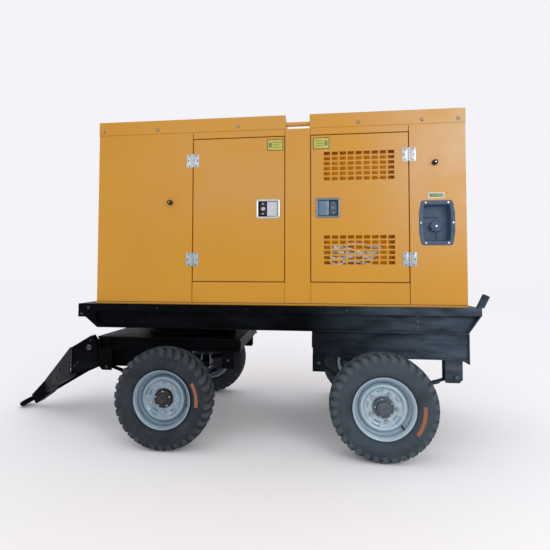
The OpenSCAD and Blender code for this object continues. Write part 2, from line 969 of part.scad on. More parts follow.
module engine() {
    color([0.12, 0.22, 0.18]) {
        block([crank_x - 920, -150, crank_z - 230], [crank_x, 150, crank_z - 90]);
        block([crank_x - 960, -190, crank_z - 100], [crank_x, 190, crank_z + 330]);
        block([crank_x - 940, -130, crank_z + 329], [crank_x - 20, 130, crank_z + 440]);
        rod_x([crank_x + 60, 0, crank_z], 250, 130);
        rod_x([crank_x - 1000, 0, crank_z], 90, 84);
        // water pump and the shaft that carries the fan
        rod_x([crank_x - 990, 0, fan_z], 60, 62);
        rod_x([(crank_x - 1020 + fan_x) / 2, 0, fan_z], 20, crank_x - 1020 - fan_x + 18);
        block([crank_x - 820, 189, crank_z + 180], [crank_x - 120, 250, crank_z + 260]);
        // feet on the skid's cross members
        for (x = [crank_x - 860, crank_x - 160])
            for (s = [-1, 1])
                block([x - 40, s * 210 - 60, deck_top + skid_h], [x + 40, s * 210 + 60, crank_z - 60]);
    }
}

module alternator() {
    color([0.45, 0.47, 0.48]) {
        rod_x([crank_x + 125 + 280, 0, crank_z], 235, 560);
        block([crank_x + 300, -190, crank_z + 180], [crank_x + 640, 190, crank_z + 360]);
        for (s = [-1, 1])
            block([crank_x + 340, s * 170 - 50, deck_top + skid_h],
                [crank_x + 400, s * 170 + 50, crank_z - 100]);
    }
}

module radiator() {
    color(black)
        difference() {
            union() {
                block([rad_x, -420, deck_top + skid_h], [rad_x + 90, 420, roof_z - 160]);
                block([rad_x + 89, -380, crank_z - 280], [rad_x + 210, 380, crank_z + 480]);
            }
            rod_x([rad_x + 160, 0, fan_z], 345, 141);
        }
}

module cooling_fan() {
    color([0.75, 0.2, 0.12])
        translate([fan_x, 0, fan_z])
            rotate([0, 90, 0]) {
                difference() {
                    cylinder(h = 60, r = 62, center = true);
                    translate([0, 0, -15])
                        cylinder(h = 60, r = 20 + run);
                }
                for (a = [0:5])
                    rotate(a * 60)
                        rotate([38, 0, 0])
                            translate([185, 0, 0])
                                cube([290, 90, 5], center = true);
            }
}

module muffler() {
    color([0.35, 0.34, 0.33]) {
        rod_x([crank_x - 480, 330, crank_z + 560], 95, 760);
        rod_x([crank_x - 980, 330, crank_z + 560], 35, 260);
        translate([crank_x - 300, 330, crank_z + 220])
            cylinder(h = 260, r = 32);
        block([crank_x - 340, 250, crank_z + 180], [crank_x - 260, 366, crank_z + 256]);
    }
}

module air_filter() {
    color(black) {
        rod_x([crank_x - 200, -300, crank_z + 560], 95, 420);
        rod_x([crank_x + 40, -300, crank_z + 560], 45, 80);
        block([crank_x - 320, -320, crank_z + 340], [crank_x - 240, -130, crank_z + 470]);
    }
}

module battery() {
    color(rubber) {
        block([crank_x - 700, -430, deck_top + skid_h], [crank_x - 340, -250, deck_top + skid_h + 200]);
        for (x = [crank_x - 650, crank_x - 390])
            translate([x, -340, deck_top + skid_h + 199])
                cylinder(h = 18, r = 9);
    }
}

module control_panel() {
    color([0.75, 0.75, 0.72]) {
        block([can_x1 - 260, -280, deck_top + 780], [can_x1 - 60, 280, deck_top + 1300]);
        for (s = [-1, 1])
            block([can_x1 - 240, s * 250 - 20, deck_top + skid_h],
                [can_x1 - 200, s * 250 + 20, deck_top + 781]);
    }
}

deck_frame();
end_gussets();
rear_subframe();
rear_hangers();
lashing_stakes();
rear_springs();
rear_axle();
rear_u_bolts();
upper_bolster();
base_skid();
fuel_tank();
canopy_side_near();
canopy_side_far();
canopy_front_end();
canopy_rear_end();
roof_panel();
roof_cap_front();
roof_cap_rear();
lifting_bars();
filler_pan();
engine();
radiator();
alternator();
muffler();
air_filter();
battery();
control_panel();
hinge_leaves();
door_buffers();
bogie_frame();
turntable_ring();
front_hangers();
front_springs();
front_axle();
front_u_bolts();
drawbar();
tow_eye();
drawbar_pins();
tyre_front_near();
tyre_front_far();
tyre_rear_near();
tyre_rear_far();
rim_front_near();
rim_front_far();
rim_rear_near();
rim_rear_far();
hub_front_near();
hub_front_far();
hub_rear_near();
hub_rear_far();
door_front_near();
door_rear_near();
door_front_far();
door_rear_far();
latch_front_near();
latch_rear_near();
latch_front_far();
latch_rear_far();
fuel_cap();
cooling_fan();
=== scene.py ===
"""Looks of the towable diesel generator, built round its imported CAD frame. Metres, +Z up."""

import json
import math

import bmesh
import bpy
from mathutils import Matrix, Vector


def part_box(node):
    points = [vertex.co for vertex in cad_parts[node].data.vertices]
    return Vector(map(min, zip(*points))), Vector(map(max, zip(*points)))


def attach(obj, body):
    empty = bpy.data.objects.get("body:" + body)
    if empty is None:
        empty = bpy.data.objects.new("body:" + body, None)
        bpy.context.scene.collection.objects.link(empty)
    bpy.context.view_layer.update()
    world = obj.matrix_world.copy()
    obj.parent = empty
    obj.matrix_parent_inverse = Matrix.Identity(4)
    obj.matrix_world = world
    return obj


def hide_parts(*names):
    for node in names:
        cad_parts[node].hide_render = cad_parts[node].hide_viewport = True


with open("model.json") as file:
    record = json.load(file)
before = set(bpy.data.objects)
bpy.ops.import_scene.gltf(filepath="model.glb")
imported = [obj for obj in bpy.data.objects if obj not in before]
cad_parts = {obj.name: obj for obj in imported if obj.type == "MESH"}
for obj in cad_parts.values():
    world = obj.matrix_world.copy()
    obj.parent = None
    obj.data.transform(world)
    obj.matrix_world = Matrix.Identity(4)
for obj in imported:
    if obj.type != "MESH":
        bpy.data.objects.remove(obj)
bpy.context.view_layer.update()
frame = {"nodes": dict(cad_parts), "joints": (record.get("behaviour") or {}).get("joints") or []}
JOINTS = {j["name"]: j for j in frame["joints"]}
SIDES = {"near": -1, "far": 1}
ENDS = ("front", "rear")

# Canopy and doors
DOOR_W = 0.765
DOOR_H = 1.190
DOOR_T = 0.028
DOOR_GAP = 0.008
HINGE_H = 0.112
HINGE_DROP = 0.180
KNUCKLE_R = 0.0065
LATCH_IN = 0.134
LATCH_W = 0.190
LATCH_H = 0.155
POCKET_D = 0.020
VENT_IN = 0.385
VENT_OFF = 0.340
SLOT = (0.050, 0.028)
SLOT_PITCH = (0.063, 0.041)
SLOTS = (9, 6)
BAFFLE_DEEP = 0.034

# Springs: their place across the trailer, and (reach from the axle, height) of both eyes
SPRING_Y = 0.505
SPRING_EYES = ((-0.456, 0.640), (0.587, 0.560))
AXLE_HALF = 0.032

# Wheels, measured along the axle from the tyre's middle, outwards
LUGS = 34
STUD_R = 0.1015
STUD_TURN = {"front": 54, "rear": 66}
VALVE_TURN = {"front": -14, "rear": -46}
MARK_TURN = {"front": (-8, 30), "rear": (-37, 7)}


# ---------------------------------------------------------------- camera

def make_camera():
    """The camera that matches the view of the photo."""
    data = bpy.data.cameras.new("camera")
    camera = bpy.data.objects.new("camera", data)
    bpy.context.scene.collection.objects.link(camera)
    bpy.context.scene.camera = camera
    yaw, pitch, roll = 0.1145, 0.0367, 0.0028
    forward = Vector((-math.sin(yaw) * math.cos(pitch), math.cos(yaw) * math.cos(pitch), math.sin(pitch)))
    level = Vector((math.cos(yaw), math.sin(yaw), 0.0))
    upright = level.cross(forward)
    right = math.cos(roll) * level + math.sin(roll) * upright
    up = right.cross(forward)
    camera.matrix_world = Matrix.Translation((0.7747, -3.7227, 1.3589)) @ Matrix(
        (right, up, -forward)).transposed().to_4x4()
    data.sensor_width = 36.0
    data.lens = 25.57
    data.shift_x = 0.0191
    data.shift_y = -0.0305
    data.clip_end = 200.0


make_camera()


# ---------------------------------------------------------------- materials

class Surface:
    """A Principled material with helpers that add noise, bump and masks in the piece's own coordinates."""

    def __init__(self, name, colour, roughness, metallic=0.0, coat=0.0, specular=0.5):
        self.material = bpy.data.materials.new(name)
        self.material.use_nodes = True
        self.nodes = self.material.node_tree.nodes
        self.links = self.material.node_tree.links
        self.shader = self.nodes["Principled BSDF"]
        self.shader.inputs["Metallic"].default_value = metallic
        self.shader.inputs["Coat Weight"].default_value = coat
        self.shader.inputs["Coat Roughness"].default_value = 0.25
        self.shader.inputs["Specular IOR Level"].default_value = specular
        self.place = self.nodes.new("ShaderNodeTexCoord").outputs["Object"]
        self.colour = None
        self.rough = None
        self.normal = None
        self.base = colour
        self.roughness = roughness
        self.shader.inputs["Base Color"].default_value = (*colour, 1.0)
        self.shader.inputs["Roughness"].default_value = roughness

    def stretched(self, scale):
        mapping = self.nodes.new("ShaderNodeMapping")
        mapping.inputs["Scale"].default_value = scale
        self.links.new(self.place, mapping.inputs["Vector"])
        return mapping.outputs["Vector"]

    def noise(self, scale, detail=3.0, low=0.35, high=0.65, stretch=None):
        """A 0 to 1 mask from noise with that many features to the metre."""
        node = self.nodes.new("ShaderNodeTexNoise")
        node.inputs["Scale"].default_value = scale
        node.inputs["Detail"].default_value = detail
        self.links.new(self.stretched(stretch) if stretch else self.place, node.inputs["Vector"])
        return self.ranged(node.outputs["Fac"], low, high)

    def specks(self, scale, size):
        """A mask of small round specks."""
        node = self.nodes.new("ShaderNodeTexVoronoi")
        node.inputs["Scale"].default_value = scale
        self.links.new(self.place, node.inputs["Vector"])
        return self.ranged(node.outputs["Distance"], size, size * 0.5)

    def ranged(self, value, low, high):
        node = self.nodes.new("ShaderNodeMapRange")
        node.clamp = True
        node.inputs["From Min"].default_value = low
        node.inputs["From Max"].default_value = high
        self.links.new(value, node.inputs["Value"])
        return node.outputs["Result"]

    def axis(self, name, low, high):
        """A mask that goes from 0 at low to 1 at high along the piece's X, Y or Z."""
        node = self.nodes.new("ShaderNodeSeparateXYZ")
        self.links.new(self.place, node.inputs[0])
        return self.ranged(node.outputs[name], low, high)

    def facing_up(self, low=0.4, high=0.95):
        coord = self.nodes.new("ShaderNodeTexCoord")
        node = self.nodes.new("ShaderNodeSeparateXYZ")
        self.links.new(coord.outputs["Normal"], node.inputs[0])
        return self.ranged(node.outputs["Z"], low, high)

    def times(self, a, b):
        node = self.nodes.new("ShaderNodeMath")
        node.operation = "MULTIPLY"
        for value, socket in ((a, node.inputs[0]), (b, node.inputs[1])):
            if isinstance(value, (int, float)):
                socket.default_value = value
            else:
                self.links.new(value, socket)
        return node.outputs[0]

    def tint(self, mask, colour, amount=1.0):
        """Mixes a colour in where the mask is 1."""
        mix = self.nodes.new("ShaderNodeMix")
        mix.data_type = "RGBA"
        if self.colour is None:
            mix.inputs["A"].default_value = (*self.base, 1.0)
        else:
            self.links.new(self.colour, mix.inputs["A"])
        mix.inputs["B"].default_value = (*colour, 1.0)
        self.links.new(self.times(mask, amount), mix.inputs["Factor"])
        self.colour = mix.outputs["Result"]
        self.links.new(self.colour, self.shader.inputs["Base Color"])
        return self

    def dull(self, mask, roughness):
        """Changes the roughness to that value where the mask is 1."""
        mix = self.nodes.new("ShaderNodeMix")
        mix.data_type = "FLOAT"
        if self.rough is None:
            mix.inputs["A"].default_value = self.roughness
        else:
            self.links.new(self.rough, mix.inputs["A"])
        mix.inputs["B"].default_value = roughness
        self.links.new(mask, mix.inputs["Factor"])
        self.rough = mix.outputs["Result"]
        self.links.new(self.rough, self.shader.inputs["Roughness"])
        return self

    def bump(self, mask, depth, strength=1.0):
        node = self.nodes.new("ShaderNodeBump")
        node.inputs["Strength"].default_value = strength
        node.inputs["Distance"].default_value = depth
        self.links.new(mask, node.inputs["Height"])
        if self.normal is not None:
            self.links.new(self.normal, node.inputs["Normal"])
        self.normal = node.outputs["Normal"]
        self.links.new(self.normal, self.shader.inputs["Normal"])
        return self


def orange_paint():
    """Canopy paint, with a painted pale sheen high up at the front and at the tail."""
    s = Surface("orange_paint", (0.545, 0.250, 0.008), 0.40, coat=0.10, specular=0.38)
    s.tint(s.noise(1.1, 2.0, 0.3, 0.7), (0.510, 0.230, 0.007), 0.8)
    s.tint(s.noise(38.0, 4.0, 0.55, 0.8), (0.580, 0.275, 0.018), 0.25)
    s.tint(s.times(s.axis("Z", 1.45, 1.09), s.noise(9.0, 4.0, 0.45, 0.75)), (0.48, 0.24, 0.04), 0.30)
    # painted pale sheen high up at the front and at the tail, standing in for reflected light
    high_front = s.times(s.axis("X", -0.90, -0.10), s.axis("Z", 1.45, 2.00))
    painted_sheen_front = s.times(high_front, s.noise(1.6, 3.0, 0.25, 0.60))
    s.tint(painted_sheen_front, (0.530, 0.290, 0.105), 0.45)
    painted_sheen_tail = s.times(s.times(s.axis("X", 1.20, 2.00), s.axis("Z", 1.25, 2.20)), s.noise(2.2, 3.0, 0.25, 0.60))
    s.tint(painted_sheen_tail, (0.600, 0.440, 0.300), 0.55)
    s.dull(s.noise(14.0, 4.0, 0.35, 0.75), 0.50)
    return s.bump(s.noise(420.0, 2.0, 0.2, 0.8), 0.0003, 0.5).material


def black_paint():
    """Chassis paint, with a painted blue-grey sheen that grows towards the tail."""
    s = Surface("black_paint", (0.0018, 0.0021, 0.0028), 0.36, specular=0.025)
    s.tint(s.noise(2.6, 5.0, 0.50, 0.78, stretch=(1.0, 1.0, 3.0)), (0.006, 0.008, 0.012), 0.9)
    s.tint(s.noise(26.0, 5.0, 0.60, 0.80), (0.022, 0.027, 0.034), 0.3)
    # painted blue-grey sheen, strongest towards the tail
    painted_sheen = s.times(s.axis("X", 0.75, 1.70), s.noise(9.0, 6.0, 0.15, 0.85, stretch=(0.5, 1.0, 2.0)))
    s.tint(painted_sheen, (0.110, 0.150, 0.200), 0.80)
    s.tint(s.times(s.specks(120.0, 0.16), s.noise(5.0, 3.0, 0.55, 0.7)), (0.24, 0.25, 0.27), 0.4)
    s.tint(s.times(s.facing_up(), s.noise(7.0, 4.0, 0.3, 0.8)), (0.07, 0.07, 0.07), 0.12)
    s.dull(s.noise(9.0, 5.0, 0.35, 0.7), 0.50)
    return s.bump(s.noise(240.0, 3.0, 0.25, 0.75), 0.0006, 0.6).material


def tyre_rubber():
    """Carcass rubber, with a painted blue-grey sheen on the rear wheels."""
    s = Surface("tyre_rubber", (0.012, 0.016, 0.022), 0.70, specular=0.26)
    s.tint(s.noise(6.0, 4.0, 0.35, 0.7), (0.026, 0.033, 0.044), 0.9)
    # painted blue-grey sheen on the rear wheels, by place along the trailer
    s.tint(s.axis("X", 0.80, 0.95), (0.052, 0.075, 0.094), 0.68)
    s.tint(s.noise(4.5, 4.0, 0.50, 0.70), (0.012, 0.016, 0.022), 0.6)
    s.tint(s.noise(34.0, 5.0, 0.55, 0.8), (0.070, 0.070, 0.068), 0.40)
    s.dull(s.noise(10.0, 3.0, 0.3, 0.7), 0.62)
    return s.bump(s.noise(320.0, 3.0, 0.2, 0.8), 0.0006, 0.6).material


def tread_dust():
    """Dusty tread blocks, with a painted blue-grey sheen on the rear wheels."""
    s = Surface("tread_dust", (0.030, 0.036, 0.043), 0.80, specular=0.15)
    s.tint(s.noise(14.0, 4.0, 0.35, 0.7), (0.060, 0.070, 0.078), 0.9)
    # painted blue-grey sheen on the rear wheels
    s.tint(s.axis("X", 0.80, 0.95), (0.085, 0.110, 0.130), 0.55)
    s.tint(s.noise(60.0, 4.0, 0.55, 0.8), (0.110, 0.110, 0.105), 0.35)
    return s.bump(s.noise(300.0, 3.0, 0.2, 0.8), 0.0006, 0.6).material


def rim_paint():
    """Pale blue-grey metallic paint, with a painted paler sheen on the rear rims."""
    s = Surface("rim_paint", (0.255, 0.345, 0.405), 0.34, metallic=0.45, coat=0.2)
    s.tint(s.noise(7.0, 4.0, 0.35, 0.7), (0.195, 0.275, 0.330), 0.8)
    # painted paler sheen on the rear rims
    s.tint(s.axis("X", 0.80, 0.95), (0.440, 0.550, 0.615), 0.70)
    s.tint(s.noise(48.0, 5.0, 0.6, 0.8), (0.13, 0.15, 0.16), 0.5)
    s.dull(s.noise(22.0, 4.0, 0.35, 0.7), 0.52)
    return s.bump(s.noise(300.0, 2.0, 0.2, 0.8), 0.0004, 0.5).material


def hub_steel():
    """Dark cast steel, with a painted blue-grey sheen on parts towards the tail."""
    s = Surface("hub_steel", (0.016, 0.016, 0.018), 0.48, metallic=0.3)
    s.tint(s.noise(40.0, 4.0, 0.5, 0.75), (0.055, 0.056, 0.060), 0.8)
    # painted blue-grey sheen on parts towards the tail
    s.tint(s.axis("X", 0.80, 0.95), (0.120, 0.150, 0.190), 0.55)
    s.dull(s.noise(30.0, 3.0), 0.62)
    return s.bump(s.noise(200.0, 4.0), 0.0010, 0.7).material


def zinc_steel():
    """Plated fasteners, duller below the canopy."""
    s = Surface("zinc_steel", (0.58, 0.61, 0.63), 0.34, metallic=0.85)
    s.tint(s.noise(55.0, 2.0, 0.4, 0.6), (0.50, 0.53, 0.56), 0.7)
    s.tint(s.noise(160.0, 3.0, 0.62, 0.75), (0.30, 0.29, 0.27), 0.5)
    s.tint(s.axis("Z", 1.85, 1.60), (0.30, 0.36, 0.38), 0.60)
    s.dull(s.noise(70.0, 3.0), 0.48)
    return s.bump(s.noise(400.0, 2.0), 0.0003, 0.4).material


def foam():
    """Open-celled acoustic foam."""
    s = Surface("foam", (0.030, 0.031, 0.033), 0.95, specular=0.15)
    s.tint(s.noise(140.0, 3.0, 0.4, 0.7), (0.075, 0.076, 0.080), 0.7)
    return s.bump(s.specks(170.0, 0.5), 0.0025, 0.9).material


def plain(name, colour, roughness, tints, dull, bump, **shine):
    """A material made of noise: tints of (noise, colour, amount), dull (noise, roughness) and bump
    (noise, depth, strength)."""
    s = Surface(name, colour, roughness, **shine)
    for noise, tint, amount in tints:
        s.tint(s.noise(*noise), tint, amount)
    if dull:
        s.dull(s.noise(*dull[0]), dull[1])
    return s.bump(s.noise(*bump[0]), *bump[1:]).material


def decal(name, colour, second):
    """Printed sticker without lettering."""
    return plain(name, colour, 0.42, [((60.0, 3.0, 0.35, 0.7), second, 0.8)], ((45.0, 3.0), 0.55),
                 ((500.0, 2.0), 0.0002, 0.4))


M = {
    "orange": orange_paint(),
    "baffle": plain("baffle_paint", (0.700, 0.270, 0.010), 0.70,
        [((16.0, 4.0, 0.40, 0.75), (0.560, 0.170, 0.010), 0.7)],
        None, ((300.0, 2.0), 0.0003, 0.5), specular=0.08),
    "tread": tread_dust(),
    "black": black_paint(),
    "weld": plain("weld_metal", (0.040, 0.044, 0.050), 0.5,
        [((45.0, 4.0, 0.50, 0.62), (0.34, 0.36, 0.38), 0.8)],
        None, ((180.0, 3.0), 0.0012, 0.9), metallic=0.2),
    "tyre": tyre_rubber(),
    "mark": plain("orange_mark", (0.34, 0.105, 0.045), 0.70,
        [((90.0, 4.0, 0.40, 0.62), (0.150, 0.055, 0.032), 0.60)],
        None, ((300.0, 2.0), 0.0004, 0.5)),
    "rim": rim_paint(),
    "hub": hub_steel(),
    "zinc": zinc_steel(),
    "chrome": plain("chrome", (0.64, 0.65, 0.67), 0.12,
        [((45.0, 4.0, 0.5, 0.8), (0.40, 0.42, 0.44), 0.6)],
        ((30.0, 4.0, 0.45, 0.75), 0.24), ((60.0, 2.0), 0.0002, 0.35), metallic=1.0),
    "blue_chrome": plain("blue_chrome", (0.17, 0.235, 0.30), 0.20,
        [((40.0, 4.0, 0.4, 0.7), (0.16, 0.23, 0.30), 0.7)],
        ((35.0, 4.0, 0.4, 0.75), 0.34), ((60.0, 2.0), 0.0002, 0.35), metallic=1.0),
    "plastic": plain("black_plastic", (0.036, 0.070, 0.128), 0.46,
        [((12.0, 4.0, 0.4, 0.75), (0.062, 0.098, 0.142), 0.7)],
        ((25.0, 3.0), 0.60), ((650.0, 2.0, 0.2, 0.8), 0.0003, 0.7), specular=0.4),
    "rubber": plain("black_rubber", (0.014, 0.014, 0.015), 0.75,
        [((60.0, 4.0, 0.5, 0.8), (0.06, 0.06, 0.06), 0.5)],
        None, ((280.0, 3.0), 0.0005, 0.6), specular=0.3),
    "foam": foam(),
    "engine": plain("engine_paint", (0.055, 0.125, 0.105), 0.42,
        [((9.0, 4.0, 0.45, 0.75), (0.035, 0.085, 0.072), 0.8),
         ((60.0, 5.0, 0.6, 0.8), (0.14, 0.15, 0.14), 0.5)],
        None, ((160.0, 4.0), 0.0010, 0.7), coat=0.1),
    "alternator": plain("alternator_iron", (0.30, 0.36, 0.42), 0.46,
        [((12.0, 4.0, 0.4, 0.7), (0.20, 0.25, 0.30), 0.8)],
        None, ((150.0, 4.0), 0.0010, 0.6), metallic=0.3),
    "exhaust": plain("exhaust_steel", (0.42, 0.40, 0.38), 0.46,
        [((11.0, 5.0, 0.45, 0.7), (0.25, 0.16, 0.09), 0.7)],
        ((20.0, 4.0), 0.65), ((260.0, 3.0), 0.0005, 0.6), metallic=0.8),
    "foil": plain("foil_wrap", (0.86, 0.88, 0.90), 0.40,
        [((42.0, 4.0, 0.42, 0.62), (0.20, 0.24, 0.27), 0.9)],
        None, ((70.0, 4.0, 0.3, 0.7), 0.004, 1.0), metallic=0.15),
    "panel": plain("panel_paint", (0.56, 0.56, 0.53), 0.48,
        [((8.0, 3.0), (0.50, 0.50, 0.47), 0.7)],
        ((30.0, 3.0), 0.58), ((420.0, 2.0), 0.0003, 0.5)),
    "fan": plain("fan_plastic", (0.50, 0.085, 0.040), 0.45,
        [((30.0, 4.0, 0.5, 0.8), (0.25, 0.06, 0.04), 0.6)],
        None, ((350.0, 2.0), 0.0003, 0.4)),
    "yellow": decal("decal_yellow", (0.470, 0.440, 0.060), (0.360, 0.380, 0.090)),
    "green": decal("decal_green", (0.170, 0.260, 0.130), (0.250, 0.330, 0.200)),
    "white": decal("decal_white", (0.700, 0.700, 0.660), (0.600, 0.600, 0.570)),
    "olive": decal("decal_olive", (0.130, 0.150, 0.040), (0.190, 0.200, 0.060)),
    "dark": decal("decal_dark", (0.040, 0.040, 0.030), (0.070, 0.070, 0.050)),
}


# ---------------------------------------------------------------- mesh helpers

def vertices(bm, rings, matrix):
    """New vertices for rings of points."""
    return [[bm.verts.new(matrix @ Vector(p) if matrix else Vector(p)) for p in ring] for ring in rings]


def loft(bm, rings, matrix=None, caps=True):
    """Joins rings of points, all of one length, with faces; caps fill the first and last ring."""
    made = vertices(bm, rings, matrix)
    count = len(made[0])
    for a, b in zip(made, made[1:]):
        for i in range(count):
            bm.faces.new((a[i], a[(i + 1) % count], b[(i + 1) % count], b[i]))
    if caps:
        bm.faces.new(made[0][::-1])
        bm.faces.new(made[-1])


def wrap(bm, rings, matrix=None, closed=True):
    """Joins rings of points into a band that ends where it starts. An open ring leaves its two ends free."""
    made = vertices(bm, rings, matrix)
    count = len(made[0])
    for a, b in zip(made, made[1:] + made[:1]):
        for k in range(count if closed else count - 1):
            bm.faces.new((a[k], b[k], b[(k + 1) % count], a[(k + 1) % count]))
    return made


def revolve(bm, profile, matrix=None, steps=48, closed=False):
    """Turns (radius, along) points round local Z. A closed profile makes a ring, an open one is capped."""
    rings = [[(r * math.cos(turn), r * math.sin(turn), z) for r, z in profile] for turn in turns(steps)]
    made = wrap(bm, rings, matrix, closed)
    if not closed:
        bm.faces.new([ring[0] for ring in made][::-1])
        bm.faces.new([ring[-1] for ring in made])


def turns(steps):
    """Angles of a full turn in equal steps."""
    return [math.tau * i / steps for i in range(steps)]


def round_ring(middle, radius, side, other, sides):
    """Points on a circle round middle, in the plane of side and other."""
    return [middle + radius * (math.cos(turn) * side + math.sin(turn) * other) for turn in turns(sides)]


def sweep(bm, points, radius, sides):
    """A rod along points, with flat ends; radius is a function of the point's number."""
    points = [Vector(p) for p in points]
    rings, side = [], None
    for i, p in enumerate(points):
        along = (points[min(i + 1, len(points) - 1)] - points[max(i - 1, 0)]).normalized()
        if side is None:
            side = along.orthogonal().normalized()
        side = (side - side.dot(along) * along).normalized()
        rings.append(round_ring(p, radius(i), side, along.cross(side), sides))
    loft(bm, rings)


def smooth(points, steps=3):
    """A Catmull-Rom curve through points of any dimension."""
    out = []
    for i in range(len(points) - 1):
        p0, p1, p2, p3 = points[max(i - 1, 0)], points[i], points[i + 1], points[min(i + 2, len(points) - 1)]
        for t in [k / steps for k in range(steps)]:
            out.append(tuple(0.5 * (2 * b + (c - a) * t + (2 * a - 5 * b + 4 * c - d) * t * t
                                    + (3 * b - a - 3 * c + d) * t ** 3)
                             for a, b, c, d in zip(p0, p1, p2, p3)))
    out.append(tuple(points[-1]))
    return out


def ribbed_hose(bm, points, radius, seed):
    """A ribbed hose through the points."""
    sweep(bm, smooth(points, 10), lambda i: radius * (1.0 + 0.12 * math.cos(i * math.pi + seed)), 10)


def arc(centre, radius, start, end, steps, u, v=Vector((0, 0, 1))):
    """Points on an arc from start to end, in degrees, in the plane of u and v."""
    angles = [math.radians(start + (end - start) * i / steps) for i in range(steps + 1)]
    return [Vector(centre) + radius * (math.cos(a) * u + math.sin(a) * v) for a in angles]


def rounded(w, h, r, steps=5, centre=(0.0, 0.0)):
    """Outline of a rectangle with round corners."""
    points = []
    for k, (sx, sy) in enumerate(((1, 1), (-1, 1), (-1, -1), (1, -1))):
        for i in range(steps + 1):
            a = math.radians(90 * k + 90 * i / steps)
            points.append((centre[0] + sx * (w / 2 - r) + r * math.cos(a),
                           centre[1] + sy * (h / 2 - r) + r * math.sin(a)))
    return points


def pad(bm, outline, z0, z1, edge, matrix=None):
    """A plate with the given outline from z0 to z1, its upper edge rounded by edge."""
    cx = sum(p[0] for p in outline) / len(outline)
    cy = sum(p[1] for p in outline) / len(outline)
    reach = max(math.hypot(x - cx, y - cy) for x, y in outline)

    def ring(inset, z):
        f = 1 - inset / reach
        return [(cx + (x - cx) * f, cy + (y - cy) * f, z) for x, y in outline]
    loft(bm, [ring(0, z0), ring(0, z1 - edge), ring(edge * 0.3, z1 - edge * 0.3), ring(edge, z1)], matrix)


def box(bm, low, high, edge=0.0, matrix=None, segments=2):
    """A block with edges rounded by edge."""
    made = bmesh.ops.create_cube(bm, size=1.0)["verts"]
    size = Vector(high) - Vector(low)
    middle = (Vector(high) + Vector(low)) / 2
    for v in made:
        v.co = Vector((v.co.x * size.x, v.co.y * size.y, v.co.z * size.z)) + middle
    touched = made
    if edge > 0:
        edges = list({e for v in made for e in v.link_edges})
        result = bmesh.ops.bevel(bm, geom=edges, offset=edge, segments=segments, affect="EDGES", profile=0.5)
        touched = result["verts"]
    if matrix:
        for v in set(touched):
            v.co = matrix @ v.co


def hex_head(bm, matrix, radius, height, washer=0.0):
    """A hexagon head with a domed chamfer on an optional washer, standing on local Z = 0."""
    base = height * 0.22 if washer else 0.0
    if washer:
        revolve(bm, [(washer, 0), (washer, base * 0.7), (washer - base * 0.4, base)], matrix, 20)

    def ring(r, z):
        return [(r * math.cos(turn), r * math.sin(turn), z) for turn in turns(6)]
    loft(bm, [ring(radius, base), ring(radius, height * 0.85), ring(radius * 0.84, height)], matrix)


def pan_screw(bm, matrix, radius, height):
    """A pan head screw with a sunk middle in its head."""
    revolve(bm, [(radius, 0), (radius, height * 0.35), (radius * 0.8, height * 0.8), (radius * 0.45, height),
                 (radius * 0.36, height * 0.7)], matrix, 16)


def facing(point, outward, up=(0, 0, 1)):
    """A matrix whose local Z points outward from point and whose local Y is up."""
    z = Vector(outward).normalized()
    x = Vector(up).cross(z).normalized()
    if x.length < 0.5:
        x = Vector((1, 0, 0))
    y = z.cross(x)
    return Matrix.Translation(Vector(point)) @ Matrix((x, y, z)).transposed().to_4x4()


def piece(name, bm, body, look, replaces=(), sharp=35, merge=0.0):
    """Makes an object of the mesh, rides it on its body and gives it its look."""
    if merge:
        bmesh.ops.remove_doubles(bm, verts=bm.verts, dist=merge)
    bmesh.ops.recalc_face_normals(bm, faces=bm.faces)
    mesh = bpy.data.meshes.new(name)
    bm.to_mesh(mesh)
    bm.free()
    mesh.shade_smooth()
    mesh.set_sharp_from_angle(angle=math.radians(sharp))
    mesh.materials.append(M[look])
    obj = bpy.data.objects.new(name, mesh)
    bpy.context.scene.collection.objects.link(obj)
    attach(obj, body)
    if replaces:
        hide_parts(*replaces)
    return obj


def dress(node, look, edge=0.0015, segments=2):
    """Gives a CAD node its material and softens its edges."""
    obj = frame["nodes"][node]
    obj.data.materials.clear()
    obj.data.materials.append(M[look])
    if edge:
        weld = obj.modifiers.new("weld", "WELD")
        weld.merge_threshold = 0.00005
        bevel = obj.modifiers.new("bevel", "BEVEL")
        bevel.width = edge
        bevel.segments = segments
        bevel.limit_method = "ANGLE"
        bevel.angle_limit = math.radians(35)
        bevel.harden_normals = False
    return obj


# ---------------------------------------------------------------- wheels

def wheel_matrix(end, side):
    """Local Z points outwards along the axle, and local Y is up on the near side."""
    centre = Vector(JOINTS[f"wheel_{end}_{side}_spin"]["pos_m"])
    s = SIDES[side]
    return Matrix.Translation(centre) @ Matrix.Rotation(math.radians(-90 * s), 4, "X")


def on_wheel(matrix, degrees, radius, out):
    """A place on the wheel, turned from local X and moved outwards."""
    return matrix @ Matrix.Rotation(math.radians(degrees), 4, "Z") @ Matrix.Translation((radius, 0, out))


